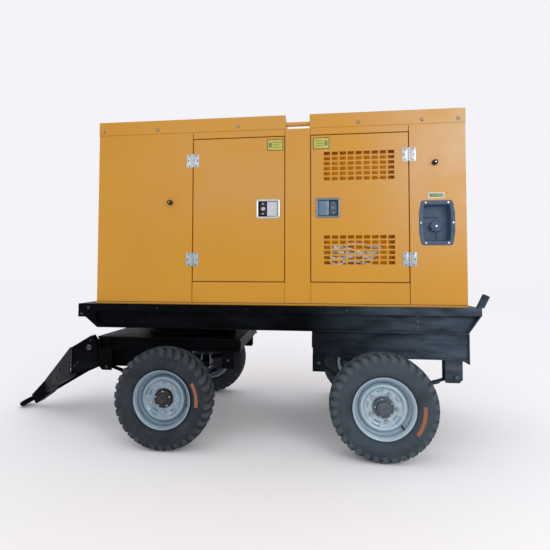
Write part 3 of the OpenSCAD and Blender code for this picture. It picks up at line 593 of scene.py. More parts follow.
# Profiles below are (radius, along the axle)
CARCASS = [(0.2075, 0.060), (0.214, 0.0668), (0.2275, 0.0672), (0.236, 0.0745), (0.250, 0.0865),
           (0.272, 0.0948), (0.298, 0.0972), (0.322, 0.0955), (0.340, 0.0915), (0.353, 0.0860),
           (0.363, 0.0780), (0.3695, 0.0670), (0.3730, 0.0500), (0.3742, 0.0250), (0.3745, 0.0)]
CAVITY = [(0.3625, 0.0), (0.360, 0.045), (0.350, 0.068), (0.332, 0.081), (0.298, 0.086), (0.262, 0.078),
          (0.240, 0.061), (0.222, 0.050), (0.2075, 0.047)]
LUG_TOP = [(0.3330, 0.0942), (0.3450, 0.0950), (0.3600, 0.0915), (0.3735, 0.0825), (0.3810, 0.0700),
           (0.3852, 0.0530), (0.3870, 0.0340), (0.3873, 0.0150)]
LUG_ROOT = [(0.3310, 0.0900), (0.3430, 0.0860), (0.3540, 0.0800), (0.3620, 0.0720), (0.3670, 0.0600),
            (0.3690, 0.0460), (0.3705, 0.0310), (0.3710, 0.0120)]
LUG_SKEW = [0.00, 0.00, 0.02, 0.06, 0.16, 0.30, 0.46, 0.58]
LUG_HALF = [0.22, 0.27, 0.29, 0.30, 0.28, 0.26, 0.27, 0.30]


def tyre_carcass(bm, matrix):
    """The outer wall and the cavity as one closed ring."""
    outer = smooth(CARCASS)
    inner = smooth(CAVITY, 2)
    section = outer + inner
    section += [(r, -a) for r, a in inner[::-1][:-1]] + [(r, -a) for r, a in outer[::-1][1:-1]]
    section = [p for i, p in enumerate(section) if p != section[i - 1]]
    revolve(bm, section, matrix, LUGS * 4, closed=True)
    for side in (-1, 1):
        for r, a in ((0.2440, 0.0818), (0.2545, 0.0888), (0.3090, 0.0966), (0.3260, 0.0944)):
            ring = [(r - 0.0022, side * (a - 0.003)), (r - 0.0010, side * (a + 0.0006)),
                    (r + 0.0010, side * (a + 0.0006)), (r + 0.0022, side * (a - 0.003))]
            revolve(bm, ring, matrix, LUGS * 4, closed=True)


def tyre_lug(bm, matrix, at, side):
    """One tread block, from the sidewall over the shoulder to near the middle."""
    pitch = math.tau / LUGS
    rings = []
    for top, root, skew, half in zip(LUG_TOP, LUG_ROOT, LUG_SKEW, LUG_HALF):
        middle = at + pitch * skew
        ring = []
        for (r, a), h in ((root, -half * 1.12), (top, -half), (top, half), (root, half * 1.12)):
            turn = middle + h * pitch
            ring.append((r * math.cos(turn), r * math.sin(turn), side * a))
        rings.append(ring)
    loft(bm, rings, matrix)


def tyre(end, side):
    """The carcass, its tread blocks, and a worn painted stroke on the outer wall."""
    bm = bmesh.new()
    matrix = wheel_matrix(end, side)
    tyre_carcass(bm, matrix)
    body = f"wheel_{end}_{side}"
    piece(f"tyre_case_{end}_{side}", bm, body, "tyre", [f"tyre_{end}_{side}"], sharp=28)
    bm = bmesh.new()
    for i in range(LUGS):
        for s in (-1, 1):
            tyre_lug(bm, matrix, math.tau * (i + (0.5 if s > 0 else 0)) / LUGS, s)
    for i in range(LUGS * 2):
        # small ribs between the blocks, low on the shoulder
        turn = math.tau * (i + 0.25) / (LUGS * 2)
        local = matrix @ Matrix.Rotation(turn, 4, "Z")
        box(bm, (0.3285, -0.0035, 0.0880), (0.3390, 0.0035, 0.0952), 0.0, local)
    piece(f"tyre_tread_{end}_{side}", bm, body, "tread", sharp=28)
    bm = bmesh.new()
    low, high = MARK_TURN[end]
    steps = 24
    rings = []
    for i in range(steps + 1):
        turn = math.radians(low + (high - low) * i / steps)
        rings.append([(r * math.cos(turn), r * math.sin(turn), a)
                      for r, a in ((0.2640, 0.0932), (0.2650, 0.0945), (0.2890, 0.0973), (0.2900, 0.0932))])
    loft(bm, rings, matrix)
    piece(f"tyre_mark_{end}_{side}", bm, body, "mark")


RIM_SECTION = [(0.2250, 0.0730), (0.2252, 0.0765), (0.2235, 0.0788), (0.2195, 0.0790), (0.2160, 0.0770),
               (0.2130, 0.0725), (0.2095, 0.0700), (0.2085, 0.0640), (0.2068, 0.0640), (0.2058, 0.0690),
               (0.2045, 0.0685), (0.2015, 0.0650), (0.2005, 0.0500), (0.2000, 0.0380), (0.1975, 0.0345),
               (0.1950, 0.0260), (0.1925, 0.0250), (0.1905, 0.0265), (0.1880, 0.0240), (0.1800, 0.0150),
               (0.1765, 0.0120), (0.1745, 0.0060),
               (0.1745, -0.0180), (0.1780, -0.0230), (0.1980, -0.0340), (0.2000, -0.0660), (0.2060, -0.0700),
               (0.2140, -0.0740), (0.2190, -0.0790), (0.2250, -0.0790), (0.2250, -0.0730), (0.2215, -0.0720),
               (0.2170, -0.0690), (0.2065, -0.0655), (0.2065, -0.0320), (0.1800, -0.0170), (0.1790, 0.0070),
               (0.2065, 0.0330), (0.2065, 0.0655), (0.2170, 0.0690), (0.2215, 0.0722)]
DISC_LINE = [(0.0752, 0.0250), (0.0900, 0.0262), (0.1040, 0.0265), (0.1180, 0.0268), (0.1270, 0.0275),
             (0.1360, 0.0325), (0.1450, 0.0400), (0.1520, 0.0438), (0.1590, 0.0440), (0.1650, 0.0405),
             (0.1700, 0.0320), (0.1740, 0.0230), (0.1762, 0.0120)]


def rim_disc(bm, matrix, end):
    """The dished disc with pressed panels between the studs and a boss at each stud."""
    line = smooth(DISC_LINE, 3)
    first = math.radians(STUD_TURN[end])
    crisp = 14.0 if end == "rear" else 5.0
    rings = []
    for turn in turns(240):
        offset = (turn - first + math.pi / 5) % (math.tau / 5) - math.pi / 5
        between = math.degrees(abs(abs(offset) - math.pi / 5))
        panel = 1 / (1 + math.exp((between - 11.5) * crisp * 0.2))
        boss = math.exp(-((math.degrees(offset) / 8.5) ** 2))
        ring = []
        for r, a in line:
            across = 1 / (1 + math.exp((0.1080 - r) * 900)) * 1 / (1 + math.exp((r - 0.1400) * 700))
            at_stud = math.exp(-(((r - STUD_R) / 0.014) ** 2))
            height = a - 0.0080 * panel * across + 0.0045 * boss * at_stud
            ring.append((r * math.cos(turn), r * math.sin(turn), height))
        for r, a in line[::-1]:
            ring.append((r * math.cos(turn), r * math.sin(turn), a - 0.0120))
        rings.append(ring)
    wrap(bm, rings, matrix)


def rim(end, side):
    """The pressed rim with its disc, and the valve stem."""
    bm = bmesh.new()
    matrix = wheel_matrix(end, side)
    revolve(bm, RIM_SECTION, matrix, 120, closed=True)
    rim_disc(bm, matrix, end)
    body = f"wheel_{end}_{side}"
    piece(f"rim_pressed_{end}_{side}", bm, body, "rim", [f"rim_{end}_{side}"], sharp=40)
    # valve stem with its cap
    bm = bmesh.new()
    root = on_wheel(matrix, VALVE_TURN[end], 0.1890, 0.0200) @ Matrix.Rotation(0.25, 4, "Y")
    revolve(bm, [(0.0085, 0), (0.0085, 0.004), (0.0058, 0.009), (0.0052, 0.026), (0.0062, 0.0265),
                 (0.0062, 0.040), (0.0050, 0.0425)], root, 14)
    piece(f"valve_stem_{end}_{side}", bm, body, "rubber")


def hub(end, side):
    """The cast hub with its cap, the wheel nuts, and the brake drum behind the disc."""
    matrix = wheel_matrix(end, side)
    body = f"wheel_{end}_{side}"
    rear = end == "rear"
    nose = 0.0746 if rear else 0.0680
    cap = 0.0520 if rear else 0.0460
    tip = 0.0760 if rear else 0.0640
    bm = bmesh.new()
    revolve(bm, [(0.023, -0.070), (0.048, -0.070), (0.048, 0.0060), (0.118, 0.0060), (0.118, 0.0190),
                 (nose, 0.0200), (nose, 0.0440), (nose - 0.0015, 0.0475), (nose - 0.005, 0.0490),
                 (cap + 0.005, 0.0490), (cap + 0.001, 0.0500), (cap, 0.0520), (cap, tip - 0.012),
                 (cap - 0.003, tip - 0.005), (cap - 0.010, tip - 0.0015), (cap * 0.5, tip - 0.0002),
                 (0.004, tip)], matrix, 64)
    piece(f"hub_cast_{end}_{side}", bm, body, "hub", [f"hub_{end}_{side}"], sharp=32)
    bm = bmesh.new()
    for k in range(5):
        spot = on_wheel(matrix, STUD_TURN[end] + 72 * k, STUD_R, 0.0285)
        hex_head(bm, spot @ Matrix.Rotation(0.4 * k, 4, "Z"), 0.0150, 0.0165, washer=0.0175)
        thread = [(0.0080, 0.010)]
        for t in range(5):
            thread += [(0.0080, 0.0165 + 0.0016 * t), (0.0071, 0.0173 + 0.0016 * t)]
        revolve(bm, thread + [(0.0062, 0.0250)], spot, 14)
    for k in range(5):
        # bolts that hold the cap
        spot = on_wheel(matrix, STUD_TURN[end] + 36 + 72 * k, (nose + cap) / 2 + 0.0005, 0.0488)
        hex_head(bm, spot, 0.0068, 0.0055)
    piece(f"wheel_nuts_{end}_{side}", bm, body, "zinc")
    # brake drum behind the disc, with its cooling ribs
    bm = bmesh.new()
    drum = [(0.0500, -0.0690), (0.1560, -0.0690), (0.1600, -0.0660)]
    for k in range(4):
        drum += [(0.1600, -0.0600 + 0.012 * k), (0.1560, -0.0580 + 0.012 * k), (0.1560, -0.0540 + 0.012 * k),
                 (0.1600, -0.0520 + 0.012 * k)]
    revolve(bm, drum + [(0.1600, -0.0040), (0.1560, 0.0020), (0.0500, 0.0020)], matrix, 64, closed=True)
    piece(f"brake_drum_{end}_{side}", bm, body, "hub", sharp=32)


for e in ENDS:
    for sd in SIDES:
        tyre(e, sd)
        rim(e, sd)
        hub(e, sd)


# ---------------------------------------------------------------- doors

class Door:
    """Places of one door: local X runs from the hinge edge, local Y up and local Z outwards."""

    def __init__(self, end, side):
        self.end, self.side = end, side
        self.name = f"{end}_{side}"
        self.body = f"door_{end}_{side}"
        pivot = JOINTS[f"door_{end}_{side}_swing"]["pos_m"]
        s = SIDES[side]
        self.along = 1 if end == "front" else -1
        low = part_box(f"door_{end}_{side}")[0]
        self.origin = Vector((pivot[0] + self.along * DOOR_GAP / 2, pivot[1] - s * KNUCKLE_R, low.z))
        self.matrix = Matrix.Translation(self.origin) @ Matrix(
            ((self.along, 0, 0), (0, 0, s), (0, 1, 0))).to_4x4()

    def at(self, x, y, z=0.0):
        return self.matrix @ Matrix.Translation((x, y, z))


def cuts(low, high, holes):
    """Sorted places of the edges of holes between low and high."""
    return sorted({low, high, *[v for pair in holes for v in pair]})


def sheet_with_holes(bm, size, holes_x, holes_y, is_hole, z0, z1, matrix):
    """A plate on a grid of cuts, open where is_hole says so, closed round every opening."""
    xs = cuts(0.0, size[0], holes_x)
    ys = cuts(0.0, size[1], holes_y)
    top = [[bm.verts.new(matrix @ Vector((x, y, z1))) for y in ys] for x in xs]
    low = [[bm.verts.new(matrix @ Vector((x, y, z0))) for y in ys] for x in xs]
    solid = {}
    for i in range(len(xs) - 1):
        for j in range(len(ys) - 1):
            solid[i, j] = not is_hole((xs[i] + xs[i + 1]) / 2, (ys[j] + ys[j + 1]) / 2)
    for (i, j), here in solid.items():
        if not here:
            continue
        for grid in (top, low):
            bm.faces.new((grid[i][j], grid[i + 1][j], grid[i + 1][j + 1], grid[i][j + 1]))
        for di, dj, a, b in ((-1, 0, (i, j), (i, j + 1)), (1, 0, (i + 1, j), (i + 1, j + 1)),
                             (0, -1, (i, j), (i + 1, j)), (0, 1, (i, j + 1), (i + 1, j + 1))):
            if not solid.get((i + di, j + dj), False):
                bm.faces.new((top[a[0]][a[1]], top[b[0]][b[1]], low[b[0]][b[1]], low[a[0]][a[1]]))
    bmesh.ops.delete(bm, geom=[v for v in bm.verts if not v.link_faces], context="VERTS")


def slot_spans(middle, count, pitch, size):
    """Start and end of each slot in a row."""
    middles = [middle + (k - (count - 1) / 2) * pitch for k in range(count)]
    return [(m - size / 2, m + size / 2) for m in middles]


def inside(value, spans):
    """True where value lies in one of the spans."""
    return any(a < value < b for a, b in spans)


def door_shell(d):
    """The folded steel pan of a door, with its slotted vents and the hole for the latch dish."""
    latch_x = (DOOR_W - LATCH_IN - LATCH_W / 2 + 0.014, DOOR_W - LATCH_IN + LATCH_W / 2 - 0.014)
    latch_y = ((DOOR_H - LATCH_H) / 2 + 0.014, (DOOR_H + LATCH_H) / 2 - 0.014)
    vent_x = slot_spans(VENT_IN, SLOTS[0], SLOT_PITCH[0], SLOT[0]) if d.end == "rear" else []
    vent_y = []
    if d.end == "rear":
        for s in (-1, 1):
            vent_y += slot_spans(DOOR_H / 2 + s * VENT_OFF, SLOTS[1], SLOT_PITCH[1], SLOT[1])

    def hole(x, y):
        in_latch = latch_x[0] < x < latch_x[1] and latch_y[0] < y < latch_y[1]
        return in_latch or (inside(x, vent_x) and inside(y, vent_y))
    bm = bmesh.new()
    r = 0.0030
    sheet_with_holes(bm, (DOOR_W - 2 * r, DOOR_H - 2 * r), [(a - r, b - r) for a, b in [latch_x, *vent_x]],
                     [(a - r, b - r) for a, b in [latch_y, *vent_y]], lambda x, y: hole(x + r, y + r),
                     -0.0018, 0.0, d.at(r, r))
    # rounded fold round the edge, then the flange and its return
    bend = [math.radians(a) for a in (30, 60, 90)]
    path = [(0.0, 0.0)] + [(r * math.sin(a), -r * (1 - math.cos(a))) for a in bend]
    path += [(r, -DOOR_T), (-0.018, -DOOR_T), (-0.018, -DOOR_T + 0.0018), (r - 0.0018, -DOOR_T + 0.0018),
             (r - 0.0018, -r), (0.0, -0.0018)]
    corners = ((r, r), (DOOR_W - r, r), (DOOR_W - r, DOOR_H - r), (r, DOOR_H - r))
    away = ((-1, -1), (1, -1), (1, 1), (-1, 1))
    rings = [[(cx + ax * p, cy + ay * p, z) for p, z in path] for (cx, cy), (ax, ay) in zip(corners, away)]
    wrap(bm, rings, d.matrix)
    piece(f"door_skin_{d.name}", bm, d.body, "orange", [d.body], sharp=30)


def door_lining(d):
    """Acoustic foam inside the door, open behind the vents, and a baffle behind each vent."""
    bm = bmesh.new()
    vents = [(VENT_IN - 0.30, VENT_IN + 0.30)] if d.end == "rear" else []
    vent_middles = [DOOR_H / 2 + s * VENT_OFF for s in (-1, 1)]
    rows = [(y - 0.142, y + 0.142) for y in vent_middles] if vents else []
    latch_x = (DOOR_W - LATCH_IN - LATCH_W / 2 + 0.010, DOOR_W - LATCH_IN + LATCH_W / 2 - 0.010)
    latch_y = ((DOOR_H - LATCH_H) / 2 + 0.010, (DOOR_H + LATCH_H) / 2 - 0.010)

    def hole(x, y):
        in_latch = latch_x[0] < x < latch_x[1] and latch_y[0] < y < latch_y[1]
        return in_latch or (inside(x, vents) and inside(y, rows))
    m = 0.022
    sheet_with_holes(bm, (DOOR_W - 2 * m, DOOR_H - 2 * m), [(a - m, b - m) for a, b in [*vents, latch_x]],
                     [(a - m, b - m) for a, b in [*rows, latch_y]], lambda x, y: hole(x + m, y + m),
                     -DOOR_T + 0.002, -0.0022, d.at(m, m))
    piece(f"door_foam_{d.name}", bm, d.body, "foam")
    if vents:
        for level, middle in zip(("lower", "upper"), vent_middles):
            bm = bmesh.new()
            depth = -DOOR_T - BAFFLE_DEEP
            outline = [(-0.0025, -0.1455), (depth + 0.004, -0.1455), (depth, -0.1415), (depth, 0.1415),
                       (depth + 0.004, 0.1455), (-0.0025, 0.1455), (-0.0025, 0.1430), (depth + 0.005, 0.1430),
                       (depth + 0.0025, 0.1405), (depth + 0.0025, -0.1405), (depth + 0.005, -0.1430),
                       (-0.0025, -0.1430)]
            loft(bm, [[(x, y, z) for z, y in outline] for x in (-0.300, 0.300)], d.at(VENT_IN, middle))
            piece(f"vent_baffle_{d.name}_{level}", bm, d.body, "baffle")
        loom_in_vent(d)


def loom_in_vent(d):
    """Lagged hoses that show through the lower vent."""
    middle = DOOR_H / 2 - VENT_OFF
    bm = bmesh.new()
    for k in range(5):
        y = middle - 0.100 + 0.034 * k
        z = -DOOR_T - 0.016 + 0.003 * (k % 2)
        line = [(-0.10 - 0.02 * k, y - 0.02, z), (-0.02, y + 0.022 * math.sin(1.7 * k), z),
                (0.08, y + 0.010, z), (0.17, y - 0.018 * math.cos(1.3 * k), z),
                (0.235 - 0.006 * k, y + 0.012, z)]
        ribbed_hose(bm, [d.matrix @ Vector((VENT_IN + a, b, c)) for a, b, c in line], 0.0120, k)
    piece(f"vent_hoses_{d.name}", bm, d.body, "foil")


def hinge_leaf(bm, d, y, moving):
    """One leaf with its knuckles, drawn in the door's own places."""
    pin_x, pin_z = -DOOR_GAP / 2, KNUCKLE_R
    seg = HINGE_H / 5
    for i in range(5):
        if (i % 2 == 1) == moving:
            shell = [(0.0031, 0.0004), (KNUCKLE_R - 0.0005, 0.0004), (KNUCKLE_R, 0.0009),
                     (KNUCKLE_R, seg - 0.0009), (KNUCKLE_R - 0.0005, seg - 0.0004), (0.0031, seg - 0.0004)]
            at = d.at(pin_x, y + i * seg, pin_z) @ Matrix.Rotation(math.radians(-90), 4, "X")
            revolve(bm, shell, at, 20, closed=True)
            x0, x1 = (pin_x, pin_x + 0.009) if moving else (pin_x - 0.009, pin_x)
            box(bm, (x0, y + i * seg + 0.0006, 0.0002), (x1, y + (i + 1) * seg - 0.0006, 0.0032), 0, d.matrix)
    width = 0.0445
    middle = pin_x + (1 if moving else -1) * (0.0085 + width / 2)
    pad(bm, rounded(width, HINGE_H, 0.009, 4), 0.0, 0.0034, 0.0009, d.at(middle, y + HINGE_H / 2))


def hinge_screws(bm, d, y, moving):
    """Screws of one hinge leaf."""
    sign = 1 if moving else -1
    for dx, dy in ((0.030, 0.012), (0.040, HINGE_H / 2), (0.030, HINGE_H - 0.012)):
        at = d.at(-DOOR_GAP / 2 + sign * dx, y + dy, 0.0030)
        revolve(bm, [(0.0062, 0), (0.0056, 0.0012), (0.0034, 0.0020), (0.0026, 0.0009)], at, 14)


def hinges(d):
    """Two-leaf hinges: one leaf rides on the door, the other on the canopy."""
    for moving, body, tag in ((True, d.body, "door"), (False, "trailer", "frame")):
        bm = bmesh.new()
        holes = bmesh.new()
        for y in (HINGE_DROP - HINGE_H / 2, DOOR_H - HINGE_DROP - HINGE_H / 2):
            hinge_leaf(bm, d, y, moving)
            hinge_screws(holes, d, y, moving)
            if not moving:
                at = d.at(-DOOR_GAP / 2, y + 0.0005, KNUCKLE_R) @ Matrix.Rotation(math.radians(-90), 4, "X")
                revolve(bm, [(0.0030, 0), (0.0030, HINGE_H - 0.001)], at, 12)
        extra = ["hinge_leaves"] if not moving and d.name == "front_near" else []
        piece(f"hinge_{tag}_{d.name}", bm, body, "zinc", extra)
        piece(f"hinge_screws_{tag}_{d.name}", holes, body, "hub")


def latch(d):
    """The dish on the door, its key cylinder, and the sprung paddle."""
    look = "chrome" if d.end == "front" else "blue_chrome"
    x = DOOR_W - LATCH_IN
    y = DOOR_H / 2

    def ring(w, h, r, z):
        return [(px, py, z) for px, py in rounded(w, h, r, 5)]
    w, h = LATCH_W + 0.004, LATCH_H + 0.004
    iw, ih = LATCH_W - 0.030, LATCH_H - 0.030
    bm = bmesh.new()
    rings = [ring(w, h, 0.018, 0.0), ring(w, h, 0.018, 0.0022), ring(w - 0.004, h - 0.004, 0.016, 0.0046),
             ring(w - 0.012, h - 0.012, 0.013, 0.0054), ring(iw + 0.012, ih + 0.012, 0.010, 0.0052),
             ring(iw + 0.003, ih + 0.003, 0.008, 0.0030), ring(iw, ih, 0.007, 0.0)]
    loft(bm, rings + rings[:1], d.at(x, y), caps=False)
    piece(f"latch_bezel_{d.name}", bm, d.body, look, sharp=50, merge=0.00001)
    # dark pocket behind the bezel, painted shade in the recess
    bm = bmesh.new()
    rings = [ring(iw + grow, ih + grow, r, z)
             for grow, r, z in ((0.0014, 0.007, 0.0004 - POCKET_D), (0.0014, 0.007, -0.0004),
                                (-0.0004, 0.007, -0.0004), (-0.004, 0.007, 0.0050 - POCKET_D),
                                (-0.009, 0.006, 0.0016 - POCKET_D))]
    loft(bm, rings, d.at(x, y))
    piece(f"latch_pocket_{d.name}", bm, d.body, "hub", sharp=50)
    # housing of the lock with its bright cylinder
    bm = bmesh.new()
    core = d.at(x - 0.043, y, 0.001 - POCKET_D)
    pad(bm, rounded(0.058, 0.106, 0.010, 4), 0.0, 0.0120, 0.0030, core)
    pad(bm, rounded(0.044, 0.046, 0.008, 4), 0.0110, 0.0160, 0.0020, core)
    piece(f"latch_housing_{d.name}", bm, d.body, "hub", sharp=45)
    bm = bmesh.new()
    barrel = core @ Matrix.Translation((0.003, 0.002, 0.0055))
    revolve(bm, [(0.0155, 0.0080), (0.0155, 0.0110), (0.0140, 0.0125), (0.0125, 0.0130), (0.0118, 0.0115),
                 (0.0020, 0.0112)], barrel, 32)
    for step in (-0.042, 0.042):
        rivet = barrel @ Matrix.Translation((-0.003, step, 0))
        revolve(bm, [(0.0065, 0.0040), (0.0060, 0.0085), (0.0030, 0.0095)], rivet, 14)
    piece(f"latch_lock_{d.name}", bm, d.body, look, sharp=45)
    # dark bar in place of the key slot: painted shade of the slot
    bm = bmesh.new()
    box(bm, (-0.0016, -0.0070, 0.0108), (0.0016, 0.0070, 0.0119), 0, barrel)
    piece(f"latch_keyway_{d.name}", bm, d.body, "rubber")
    # paddle: the hinge barrel is on the free-edge side
    pivot = JOINTS[f"latch_{d.name}_pull"]["pos_m"]
    px = abs(pivot[0] - d.origin.x)
    pz = -abs(abs(pivot[1]) - abs(d.origin.y))
    tall = LATCH_H - 0.038
    bm = bmesh.new()
    plate = [(0.0015, 0.0062), (-0.006, 0.0072), (-0.040, 0.0072), (-0.070, 0.0068), (-0.0795, 0.0052),
             (-0.0815, 0.0020), (-0.0800, 0.0014), (-0.0775, 0.0036), (-0.070, 0.0044), (-0.006, 0.0044),
             (0.0015, 0.0034)]
    rings = []
    for k, f in ((0.5, 0.80), (0.494, 0.93), (0.480, 1.0), (-0.480, 1.0), (-0.494, 0.93), (-0.5, 0.80)):
        rings.append([(cx * (1 if cx > -0.03 else 1 - 0.02 * (1 - f)), k * tall, 0.0053 + (cz - 0.0053) * f)
                      for cx, cz in plate])
    loft(bm, rings, d.at(px, y, pz))
    at = d.at(px, y - tall / 2, pz) @ Matrix.Rotation(math.radians(-90), 4, "X")
    revolve(bm, [(0.0040, 0), (0.0040, tall)], at, 14)
    piece(f"latch_paddle_{d.name}", bm, f"latch_{d.name}", look, [f"latch_{d.name}"], sharp=40)


def blank_decal(name, d_matrix, body, w, h, look, rim_look, rows=3):
    """A sticker with a border, a small block and blank rows instead of a print."""
    bm = bmesh.new()
    pad(bm, rounded(w, h, 0.004, 3), 0.0, 0.0004, 0.0001, d_matrix)
    piece(f"{name}_border", bm, body, rim_look)
    bm = bmesh.new()
    pad(bm, rounded(w - 0.012, h - 0.012, 0.003, 3), 0.0, 0.0008, 0.0001, d_matrix)
    piece(f"{name}_field", bm, body, look)
    bm = bmesh.new()
    left = -w / 2 + 0.014
    pad(bm, rounded(h * 0.26, h * 0.40, 0.003, 2, (left + h * 0.13, 0.0)), 0.0, 0.0011, 0.0001, d_matrix)
    for k in range(rows):
        y = h * (0.20 - 0.40 * k / max(rows - 1, 1))
        span = w * (0.52 - 0.10 * (k % 2))
        x = left + h * 0.34 + span / 2
        pad(bm, rounded(span, h * 0.06, 0.001, 2, (x, y)), 0.0, 0.0011, 0.0001, d_matrix)
    piece(f"{name}_rows", bm, body, "olive")


DOORS = [Door(e, sd) for e in ENDS for sd in SIDES]
for door in DOORS:
    door_shell(door)
    door_lining(door)
    hinges(door)
    latch(door)
    decal_x = DOOR_W - 0.076 if door.end == "front" else DOOR_W - 0.082
    blank_decal(f"door_decal_{door.name}", door.at(decal_x, DOOR_H - 0.066), door.body, 0.132, 0.096,
                "yellow", "dark")


# ---------------------------------------------------------------- canopy

CAN_LOW, CAN_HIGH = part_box("canopy_side_near")
CAN_X0, CAN_X1 = CAN_LOW.x, CAN_HIGH.x
DECK_TOP = CAN_LOW.z
ROOF_Z = CAN_HIGH.z
HALF_W = abs(CAN_LOW.y)
PILLAR_X = (JOINTS["door_front_near_swing"]["pos_m"][0] + JOINTS["door_rear_near_swing"]["pos_m"][0]) / 2


def canopy_trim(side):
    """Base lip, sealant and roof screws on one side of the canopy."""
    s = SIDES[side]
    # base lip that stands proud of the wall, under a dark bead of sealant
    bm = bmesh.new()
    y0, y1 = sorted((s * (HALF_W - 0.004), s * (HALF_W + 0.0045)))
    box(bm, (CAN_X0 - 0.002, y0, DECK_TOP + 0.0005), (CAN_X1 + 0.002, y1, DECK_TOP + 0.016), 0.0016)
    piece(f"canopy_base_lip_{side}", bm, "trailer", "orange")
    bm = bmesh.new()
    y0, y1 = sorted((s * (HALF_W - 0.004), s * (HALF_W + 0.0008)))
    box(bm, (CAN_X0 + 0.001, y0, DECK_TOP + 0.0155), (CAN_X1 - 0.001, y1, DECK_TOP + 0.0200), 0.0004)
    piece(f"canopy_sealant_{side}", bm, "trailer", "rubber")
    # screws of the roof caps
    bm = bmesh.new()
    rims = bmesh.new()
    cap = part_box("roof_cap_front")
    for x in (CAN_X0 + 0.039, CAN_X0 + 0.523, CAN_X0 + 1.219, CAN_X1 - 0.819, CAN_X1 - 0.325, CAN_X1 - 0.052):
        at = facing((x, s * abs(cap[0].y), ROOF_Z + 0.033), (0, s, 0))
        revolve(rims, [(0.0125, 0), (0.0125, 0.0010), (0.0095, 0.0022), (0.004, 0.0022)], at, 20)
        pan_screw(bm, at @ Matrix.Translation((0, 0, 0.002)), 0.0080, 0.0050)
    piece(f"roof_screws_{side}", bm, "trailer", "zinc")
    piece(f"roof_screw_washers_{side}", rims, "trailer", "rubber")


def seams(side):
    """Dark strips sunk in the seams between the welded panels: painted shade in the seam grooves."""
    s = SIDES[side]
    bm = bmesh.new()
    edges = (PILLAR_X - 0.113, PILLAR_X + 0.113, PILLAR_X - 0.109 - DOOR_W - 0.004,
             PILLAR_X + 0.109 + DOOR_W + 0.004)
    door_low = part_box("door_front_near")[0].z
    door_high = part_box("door_front_near")[1].z
    for x in edges:
        for z0, z1 in ((DECK_TOP + 0.020, door_low - DOOR_GAP), (door_high + DOOR_GAP, ROOF_Z - 0.004)):
            y0, y1 = sorted((s * (HALF_W - 0.0052), s * (HALF_W - 0.0030)))
            # dark strip in the seam groove, painted shade
            box(bm, (x - 0.0029, y0, z0), (x + 0.0029, y1, z1), 0.0)
    piece(f"seam_filler_{side}", bm, "trailer", "dark")


def door_seals(side):
    """Rubber bulb seal on the stop lip of each door opening."""
    bm = bmesh.new()
    for d in DOORS:
        if d.side != side:
            continue
        inset = 0.012
        x0, x1, y0, y1 = inset, DOOR_W - inset, inset, DOOR_H - inset
        z = -0.0295
        bulb = 0.004
        corners = [(x0, y0), (x1, y0), (x1, y1), (x0, y1)]
        rings = []
        for (cx, cy), (ax, ay) in zip(corners, ((-1, -1), (1, -1), (1, 1), (-1, 1))):
            rings.append([(cx + ax * bulb * math.cos(turn), cy + ay * bulb * math.cos(turn),
                           z - 0.0004 + 0.0008 * math.sin(turn)) for turn in turns(8)])
        wrap(bm, rings, d.matrix)
    piece(f"door_seals_{side}", bm, "trailer", "rubber")


for sd in SIDES:
    canopy_trim(sd)
    seams(sd)
    door_seals(sd)


def buffers():
    """Conical rubber stops with a bright screw, where the open doors land."""
    places = []
    low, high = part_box("door_buffers")
    for s in SIDES.values():
        for x, z in ((low.x + 0.021, low.z + 0.021), (high.x - 0.021, high.z - 0.021)):
            places.append(facing((x, s * HALF_W, z), (0, s, 0)))
    bm = bmesh.new()
    screws = bmesh.new()
    for at in places:
        revolve(bm, [(0.021, 0), (0.0212, 0.004), (0.0195, 0.014), (0.0190, 0.026), (0.0175, 0.032),
                     (0.0140, 0.0355), (0.0080, 0.0355), (0.0070, 0.029)], at, 28)
        revolve(screws, [(0.0066, 0.028), (0.0064, 0.0330), (0.0040, 0.0350), (0.0016, 0.0352)], at, 16)
    piece("buffer_rubber", bm, "trailer", "rubber", ["door_buffers"])
    piece("buffer_screws", screws, "trailer", "chrome")


buffers()


